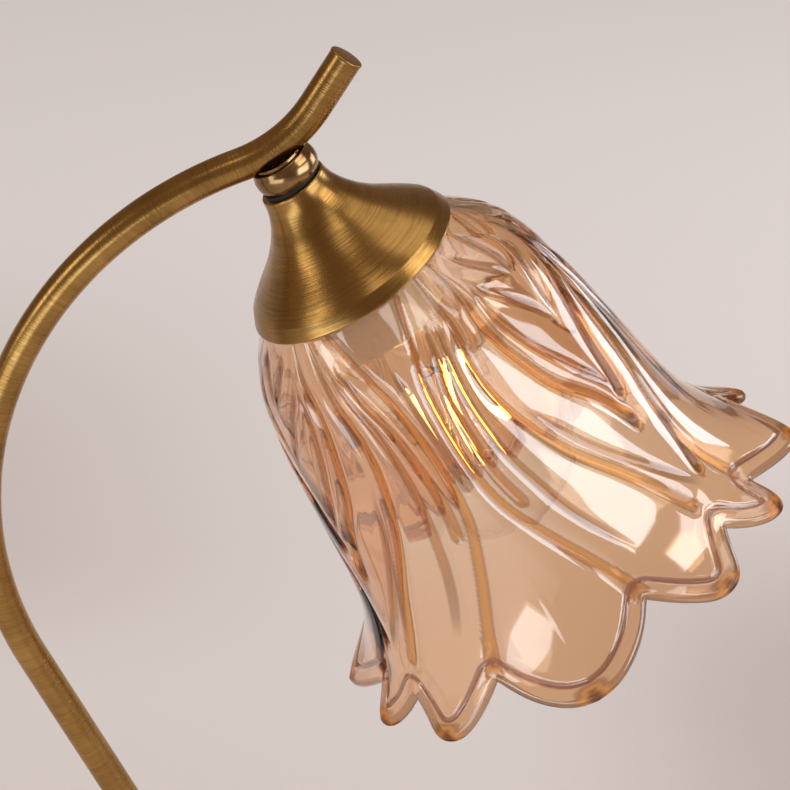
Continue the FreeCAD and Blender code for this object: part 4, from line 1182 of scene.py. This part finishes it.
    def quarter_rim(self) -> tuple[np.ndarray, np.ndarray]:
        """Rim of one quarter.

        Returns:
            The rim's (angle, height) and, for each, the angle that its column has
            further up the shade.
        """
        rim, upper = [], []
        for petal, count in zip(self.rim, self.columns):
            fine = spline(petal, 200)
            across = np.radians(np.diff(fine[:, 0])) * self.radius(fine[:-1, 1])
            steps = np.hypot(across, np.diff(self.run(fine[:, 1])))
            far = np.concatenate([[0.0], np.cumsum(steps)])
            at = np.linspace(0, far[-1], count + 1)
            points = np.stack([np.interp(at, far, fine[:, k]) for k in (0, 1)], 1)
            rim.append(points[:-1])
            upper.append(np.linspace(petal[0][0], petal[-1][0], count + 1)[:-1])
        rim.append(np.array([self.rim[-1][-1]]))
        upper.append(np.array([self.rim[-1][-1][0]]))
        return np.concatenate(rim), np.concatenate(upper)

    def whole_rim(self) -> tuple[np.ndarray, np.ndarray]:
        """Rim and upper angles all the way round, from the quarter and its mirrors."""
        rim, upper = self.quarter_rim()
        half = np.concatenate([rim, rim[-2:0:-1] * (-1, 1) + (180, 0)])
        half_up = np.concatenate([upper, 180 - upper[-2:0:-1]])
        return np.concatenate([half, half + (180, 0)]), np.concatenate([half_up, half_up + 180])

    def inset(self, rim: np.ndarray) -> np.ndarray:
        """The rim moved inwards over the surface by half the lip."""
        around, run = self.radius(rim[:, 1]), self.run(rim[:, 1])
        ahead = np.roll(rim[:, 0], -1) - rim[:, 0]
        ahead = np.radians((ahead + 180) % 360 - 180) * around
        ahead = np.stack([ahead, np.roll(run, -1) - run], 1)
        out = np.stack([-ahead[:, 1], ahead[:, 0]], 1)
        out /= np.linalg.norm(out, axis=1)[:, None]
        mitre = out + np.roll(out, 1, axis=0)
        size = np.linalg.norm(mitre, axis=1)[:, None]
        mitre = mitre / np.maximum(size, 0.9) ** 2 * 2
        for _ in range(2):
            mitre = (np.roll(mitre, 1, axis=0) + 2 * mitre + np.roll(mitre, -1, axis=0)) / 4
        back = mitre * self.lip / 2
        return np.stack([rim[:, 0] - np.degrees(back[:, 0] / around),
                         self.height(run - back[:, 1])], 1)

    @staticmethod
    def folded(angle: np.ndarray) -> np.ndarray:
        """The angle within the quarter that a point mirrors."""
        half = np.mod(angle, 180.0)
        return np.minimum(half, 180.0 - half)

    @staticmethod
    def to_path(x: np.ndarray, y: np.ndarray, path: np.ndarray) -> tuple[np.ndarray, np.ndarray]:
        """Distance of points to a path and the share of the path at its nearest place.

        Args:
            x: First coordinate, in millimetres.
            y: Second coordinate.
            path: Points of the path.

        Returns:
            The distances and the shares.
        """
        best, share = np.full(x.shape, 1e9), np.zeros(x.shape)
        for k, (start, end) in enumerate(zip(path[:-1], path[1:])):
            dx, dy = end - start
            t = np.clip(((x - start[0]) * dx + (y - start[1]) * dy) / (dx * dx + dy * dy), 0, 1)
            gap = np.hypot(x - start[0] - t * dx, y - start[1] - t * dy)
            closer = gap < best
            best = np.where(closer, gap, best)
            share = np.where(closer, (k + t) / (len(path) - 1), share)
        return best, share

    def one_groove(self, groove: Groove, angle: np.ndarray, around: np.ndarray,
                   run: np.ndarray) -> tuple[np.ndarray, np.ndarray]:
        """Depth of one vein at points given by angle, radius and run, and the strength of its
        painted shade.
        """
        path = spline(groove.path, 40)
        wide = groove.half * self.flank
        path_run = self.run(path[:, 0])
        middle = np.radians(np.interp(run, path_run, path[:, 1])) * around
        flat = np.radians(angle) * around
        near = (run > path_run.min() - wide) & (run < path_run.max() + wide)
        near &= np.abs(flat - middle) < wide * 1.6
        laid = np.stack([np.radians(path[:, 1]) * self.radius(path[:, 0]), path_run], 1)
        gap, share = self.to_path(flat[near], run[near], laid)
        swell = groove.start + (1 - groove.start) * eased(share / 0.25)
        if not groove.blunt:
            swell = swell * np.clip((1 - share) / 0.3, 0.05, 1) ** 0.7
        narrow = unit(gap / (groove.half * np.maximum(swell, 0.05)))
        broad = unit(gap / wide)
        out, vein = np.zeros(angle.shape), np.zeros(angle.shape)
        out[near] = groove.depth * swell * (self.valley * (1 - narrow) ** 1.5
                                            + (1 - self.valley) * (1 - broad) ** 2)
        # Strength of the painted shade: amber along the valley, painted brown past dark_from.
        brown = unit((share - groove.dark_from) / 0.12)
        tone = (0.5 + 0.5 * brown) * min(1.0, groove.depth / 1.6) * swell
        breadth = 1.2 + 1.3 * share + 1.0 * brown
        vein[near] = tone * unit(2.0 * (1 - gap / breadth))
        return out, vein

    def groove_depth(self, angle: np.ndarray, h: np.ndarray) -> tuple[np.ndarray, np.ndarray]:
        """How deep the pressed veins are at each point, in millimetres.

        Args:
            angle: Degrees round the shade from the broad petal.
            h: Height along the head's axis.

        Returns:
            The depth, and the strength of the painted shade along the veins.
        """
        around, run, inside = self.radius(h), self.run(h), self.folded(angle)
        total, veins = np.zeros_like(h), np.zeros_like(h)
        for mirrored in (-inside, inside, 180.0 - inside):
            for groove in self.grooves:
                depth, vein = self.one_groove(groove, mirrored, around, run)
                total += depth ** self.sharp
                veins = np.maximum(veins, vein)
        return total ** (1 / self.sharp), veins

    def rim_band(self, angle: np.ndarray, h: np.ndarray,
                 rim: np.ndarray) -> tuple[np.ndarray, np.ndarray]:
        """Depth of the fold that runs round the petals beside their edge, and the strength of the
        painted dark line along it.
        """
        around, run = self.radius(h), self.run(h)
        span = 40
        closed = np.concatenate([rim[-span:] - (360, 0), rim, rim[:span] + (360, 0)])
        gap = np.full(h.shape, 1e9)
        for j in range(h.shape[1]):
            near = closed[j:j + 2 * span]
            laid = np.radians(near[:, 0] - rim[j, 0]) * self.radius(near[:, 1])
            flat = np.radians(angle[:, j] - rim[j, 0]) * around[:, j]
            gap[:, j] = self.to_path(flat, run[:, j], np.stack([laid, self.run(near[:, 1])], 1))[0]
        half, deep = self.band_groove
        fold = unit(1 - np.abs(gap - self.band) / half)
        # The second result is the strength of the painted dark line along the fold.
        return deep * fold ** 1.3, unit(1.4 * fold)

    def surface(self, angle: np.ndarray, h: np.ndarray, below: np.ndarray) -> np.ndarray:
        """Local points on the shade.

        Args:
            angle: Degrees from the broad petal.
            h: Height along the axis of the plain surface.
            below: Depth under the plain outer surface.

        Returns:
            The points.
        """
        lean = self.lean(h)
        r = self.radius(h) - below * np.cos(lean)
        along = h + below * np.sin(lean)
        turn = np.radians(angle + self.facing)
        aside = np.interp(h, *zip(*self.offset))
        return np.stack([r * np.sin(turn) + aside, r * np.cos(turn), along], -1)

    def rows(self, edge: np.ndarray, upper: np.ndarray, far_rows: int, near: np.ndarray,
             start: float) -> tuple[np.ndarray, np.ndarray]:
        """Angles and heights of the rows from the neck to the edge.

        Args:
            edge: The edge's angle and height.
            upper: Angle of each column up the shade.
            far_rows: Number of rows before the near ones.
            near: Distances of the near rows from the edge, falling to 0.
            start: Height of the first row.

        Returns:
            The angles and the heights.
        """
        first, last = self.run(np.array(start)), self.run(edge[:, 1])
        share = np.linspace(0, 1, far_rows, endpoint=False)[:, None]
        far = first + (last - near[0] - first)[None, :] * share
        run = np.concatenate([far, last[None, :] - near[:, None]])
        pull = eased(1 - (last[None, :] - run) / self.pull_reach)
        angle = upper[None, :] + (edge[None, :, 0] - upper[None, :]) * pull
        return angle, self.height(run)

    def marks(self, rim: np.ndarray, edge: np.ndarray, h: np.ndarray, veins: np.ndarray,
              line: np.ndarray) -> dict[str, np.ndarray]:
        """Strengths of the painted shade on the outer side and the lip.

        Args:
            rim: Angle and height of the rim.
            edge: The same of the outer side's last row.
            h: Heights of the outer side's points.
            veins: How near a vein they are.
            line: How near the rim's fold they are.

        Returns:
            The strengths by attribute.
        """
        # Painted brown near the petal tips on the outer side and over the whole lip, strongest at
        # the tips.
        aside = np.abs(self.folded(rim[:, 0])[:, None] - np.array(self.tips)).min(axis=1)
        tip = np.exp(-(np.radians(aside) * self.radius(rim[:, 1]) / 4.5) ** 2)
        above = self.run(edge[:, 1])[None, :] - self.run(h)
        veins = np.maximum(veins, 0.85 * tip * unit(1.4 - above / 2.5))
        painted_lip_brown = np.tile(0.22 + 0.75 * tip, (self.lip_rows, 1))
        return {"vein": np.concatenate([veins, painted_lip_brown]), "edge": line}

    def rings(self) -> tuple[list[np.ndarray], dict[str, np.ndarray]]:
        """Rings of local points: outer side, lip, inner side and neck.

        Returns:
            The rings, and the strengths of the painted shade along the veins, the rim's fold and
            the lip.
        """
        rim, upper = self.whole_rim()
        edge = self.inset(rim)
        near = np.arange(self.near_reach, -0.01, -self.near_step)
        angle, h = self.rows(edge, upper, self.far_rows, near, self.top + 0.4)
        depth, veins = self.groove_depth(angle, h)
        fade = unit((self.run(edge[:, 1]) - self.run(h)) / 3)
        fold, line = self.rim_band(angle, h, rim)
        depth, veins = depth * fade + fold, veins * fade
        outer = self.surface(angle, h, depth)
        seam = np.isclose(self.folded(upper), 0, atol=1e-6)[None, :] & (h > self.seam_from)
        outer[..., 1] += np.where(seam, self.seam_height * np.cos(np.radians(angle)), 0.0)
        marks = self.marks(rim, edge, h, veins, line)
        close = np.array([6.0, 4.0, 2.5, 1.2, 0.0])
        angle, h = self.rows(edge, upper, self.inner_rows, close, self.top + 3.4)
        gap = self.run(edge[:, 1])[None, :] - self.run(h)
        below = self.wall + (self.lip - self.wall) * unit(1 - gap / 14)
        inner = self.surface(angle, h, below)[::-1]
        half = np.full(len(edge), self.lip / 2)
        middle = self.surface(edge[:, 0], edge[:, 1], half)
        reach = self.surface(rim[:, 0], rim[:, 1], half) - middle
        lift = outer[-1] - middle
        lip = [middle + math.cos(t) * lift + math.sin(t) * reach
               for t in np.linspace(0, math.pi, self.lip_rows + 2)[1:-1]]
        turn = np.radians(upper + self.facing)
        circle = np.stack([np.sin(turn), np.cos(turn), 0 * turn], -1)
        low, high, bevel = self.top, self.top + self.wall, self.neck_edge
        neck = [circle * r + np.array([0, 0, z]) for r, z in (
            (self.hole + bevel, high), (self.hole, high - bevel), (self.hole, low + bevel),
            (self.hole + bevel, low), (self.neck_radius, low))]
        return [*outer, *lip, *inner, *neck], marks

    def build(self, dresser: Dresser) -> None:
        """Make and dress the glass."""
        rings, marks = self.rings()
        count = len(rings[0])
        faces = []
        for k in range(len(rings)):
            a, b = k * count, ((k + 1) % len(rings)) * count
            faces += [(a + j, a + (j + 1) % count, b + (j + 1) % count, b + j)
                      for j in range(count)]
        glass = make_object("flower_shade", HEAD.place(np.concatenate(rings)), faces, 80.0)
        # Store the strengths of the painted shade for the glass material.
        for mark, strengths in marks.items():
            values = np.zeros(len(glass.data.vertices))
            values[:strengths.size] = strengths.ravel()
            glass.data.attributes.new(mark, "FLOAT", "POINT").data.foreach_set("value", values)
        LOG.info("shade has %d quads", len(faces))
        dresser.new(glass, "champagne_glass", "champagne_glass", "head", "glass_shade")


# ---------------------------------------------------------------- the bulb
@dataclass
class Bulb:
    """Upright filament sticks in a ring inside the bulb."""

    count: int = 4
    ring: float = 8.0
    radius: float = 0.8
    start: float = 89.85
    length: float = 34.0
    pin_share: float = 0.6
    pin: tuple[float, float] = (1.6, 1.9)

    def build(self, dresser: Dresser) -> None:
        """Make and dress the filaments; the rest of the bulb stays as it is."""
        r, start, end = self.radius, self.start, self.start + self.length
        pin, (pin_length, taper_end) = r * self.pin_share, self.pin
        outline = rounded([(0, start, 0), (pin, start, 0.1), (pin, start + pin_length, 0.1),
                           (r, start + taper_end, 0.3), (r, end - taper_end, 0.3),
                           (pin, end - pin_length, 0.1), (pin, end, 0.1), (0, end, 0)])
        piece = turned("filament_ring", outline, flat_place, 20)
        ring_of_copies().apply(piece, Count=self.count, Radius=self.ring * MM,
                               First_Angle=math.pi / 4, Finish=dresser.finishes.get("filament"))
        piece.data.transform(HEAD.matrix())
        dresser.new(piece, "filament", "filament", "bulb", "bulb_filaments")


# ---------------------------------------------------------------- the studio
@dataclass(frozen=True)
class Lamp:
    """A soft box: where it stands as seen from the shade, its size in metres, its light."""

    name: str
    azimuth: float
    elevation: float
    distance: float
    size: tuple[float, float]
    radiance: float
    colour: Colour = (1.0, 1.0, 1.0)


@dataclass
class Studio:
    """Pale floor with painted shade and shadows, soft lamps and the camera."""

    floor_colour: Colour = (0.615, 0.543, 0.508)
    floor_shadow_colour: Colour = (0.40, 0.325, 0.30)
    even_light: tuple[Colour, float] = ((1.0, 1.0, 1.0), 0.84)
    room: tuple[Colour, float] = ((0.78, 0.56, 0.40), 0.34)
    centre: tuple[float, float, float] = (60.0, 0.0, 280.0)
    target: tuple[float, float, float] = (47.1, 0.0, 294.64)
    camera_at: tuple[float, float, float] = (-36.76, -771.92, 707.49)
    focal_pixels: float = 2872.0
    lamps: tuple[Lamp, ...] = (
        Lamp("key_right", 57, 15, 1.3, (1.1, 0.6), 4.2, (0.76, 0.88, 1.0)),
        Lamp("high_right", 62, 47, 1.3, (0.8, 0.4), 4.0),
        Lamp("high_front", -12, 60, 1.3, (0.8, 0.3), 2.0),
        Lamp("back_right", 115, 12, 1.3, (0.5, 0.5), 4.4, (0.80, 0.90, 1.0)),
        Lamp("low_left", -42, -8, 1.0, (0.9, 0.32), 2.9, (0.78, 0.89, 1.0)),
        Lamp("left", -75, 18, 1.1, (0.3, 0.4), 2.8),
        Lamp("overhead", 150, 74, 1.3, (1.1, 0.9), 1.1),
    )
    image_width: float = 790.0
    sensor_width: float = 36.0
    clip: tuple[float, float] = (0.05, 50.0)
    floor_side: float = 12.0

    def floor(self) -> None:
        """A wide floor in the background's colour, darker towards the camera, with painted shadows
        at the right corner and at the left.
        """
        tree = Tree("studio_floor")
        x, y, _ = tree.parts(tree.place())
        cloud = tree.noise(tree.place(), 1.4, 3.0)
        # Painted shade: darker towards the camera, a painted shadow at the right corner and another
        # at the left; the cloud is random tone.
        near = 1.0 - y.band(0.2, 0.95)
        corner = x.band(0.1, 0.28) * (1.0 - y.band(0.22, 0.5))
        left = (1.0 - x.band(-0.15, 0.1)) * y.band(0.28, 0.42) * (1.0 - y.band(0.5, 0.8))
        shade = near * 0.4 + corner * 0.7 + left * 0.4 + cloud * 0.1
        pale = tree.mix(shade, self.floor_colour, self.floor_shadow_colour)
        material = tree.finish(Base_Color=pale, Roughness=0.9, Specular_IOR_Level=0.1)
        mesh = bpy.data.meshes.new("floor")
        half = self.floor_side / 2
        corners = [(-half, -half, 0), (half, -half, 0), (half, half, 0), (-half, half, 0)]
        mesh.from_pydata(corners, [], [(0, 1, 2, 3)])
        mesh.materials.append(material)
        floor = linked("floor", mesh)

    def world(self) -> None:
        """Even light for dull surfaces and a dim warm room for the shiny ones."""
        world = bpy.data.worlds.new("studio")
        bpy.context.scene.world = world
        world.use_nodes = True
        nodes, links = world.node_tree.nodes, world.node_tree.links
        nodes.clear()
        path = nodes.new("ShaderNodeLightPath")
        shiny = nodes.new("ShaderNodeMath")
        shiny.operation = "MAXIMUM"
        links.new(path.outputs["Is Glossy Ray"], shiny.inputs[0])
        links.new(path.outputs["Is Transmission Ray"], shiny.inputs[1])
        mix = nodes.new("ShaderNodeMixShader")
        links.new(shiny.outputs[0], mix.inputs[0])
        for k, (colour, strength) in enumerate((self.even_light, self.room)):
            back = nodes.new("ShaderNodeBackground")
            back.inputs["Color"].default_value = (*colour, 1.0)
            back.inputs["Strength"].default_value = strength
            links.new(back.outputs[0], mix.inputs[1 + k])
        end = nodes.new("ShaderNodeOutputWorld")
        links.new(mix.outputs[0], end.inputs[0])

    def lamp(self, lamp: Lamp) -> None:
        """Set up a soft box that faces the shade."""
        light = bpy.data.lights.new(lamp.name, "AREA")
        light.shape = "RECTANGLE"
        light.size, light.size_y = lamp.size
        light.energy = lamp.radiance * math.pi * lamp.size[0] * lamp.size[1]
        light.color = lamp.colour
        made = linked(lamp.name, light)
        turn, rise = math.radians(lamp.azimuth), math.radians(lamp.elevation)
        away = Vector((math.sin(turn) * math.cos(rise), -math.cos(turn) * math.cos(rise),
                       math.sin(rise)))
        made.location = Vector(self.centre) * MM + away * lamp.distance
        made.rotation_euler = (-away).to_track_quat("-Z", "Y").to_euler()

    def camera(self) -> None:
        """The camera at the photograph's angle."""
        data = bpy.data.cameras.new("camera")
        data.sensor_width = self.sensor_width
        data.lens = self.focal_pixels / self.image_width * data.sensor_width
        data.clip_start, data.clip_end = self.clip
        camera = linked("camera", data)
        camera.location = Vector(self.camera_at) * MM
        aim = Vector(self.target) * MM - camera.location
        camera.rotation_euler = aim.to_track_quat("-Z", "Y").to_euler()
        bpy.context.scene.camera = camera

    def build(self) -> None:
        """Set the whole stage."""
        self.floor()
        self.world()
        for lamp in self.lamps:
            self.lamp(lamp)
        self.camera()
        bpy.context.scene.view_settings.view_transform = "Standard"


def clear_defaults() -> None:
    """Remove the objects of Blender's own start file."""
    for name in ("Cube", "Light", "Camera"):
        if name in bpy.data.objects:
            bpy.data.objects.remove(bpy.data.objects[name])


def main() -> None:
    """Build the lamp's looks and its studio."""
    logging.basicConfig(level=logging.INFO, format="%(name)s: %(message)s")
    clear_defaults()
    bpy.context.view_layer.update()
    dresser = Dresser(Finishes())
    Arm().build(dresser)
    Collar().build(dresser)
    Cup().build(dresser)
    Shade().build(dresser)
    Bulb().build(dresser)
    dresser.keep("neck_nipple", "nipple_steel")
    dresser.keep("screw_shell", "shell_brass")
    dresser.keep("bulb_supports", "wire_nickel")
    dresser.keep_rest()
    Studio().build()


if __name__ == "__main__":
    main()
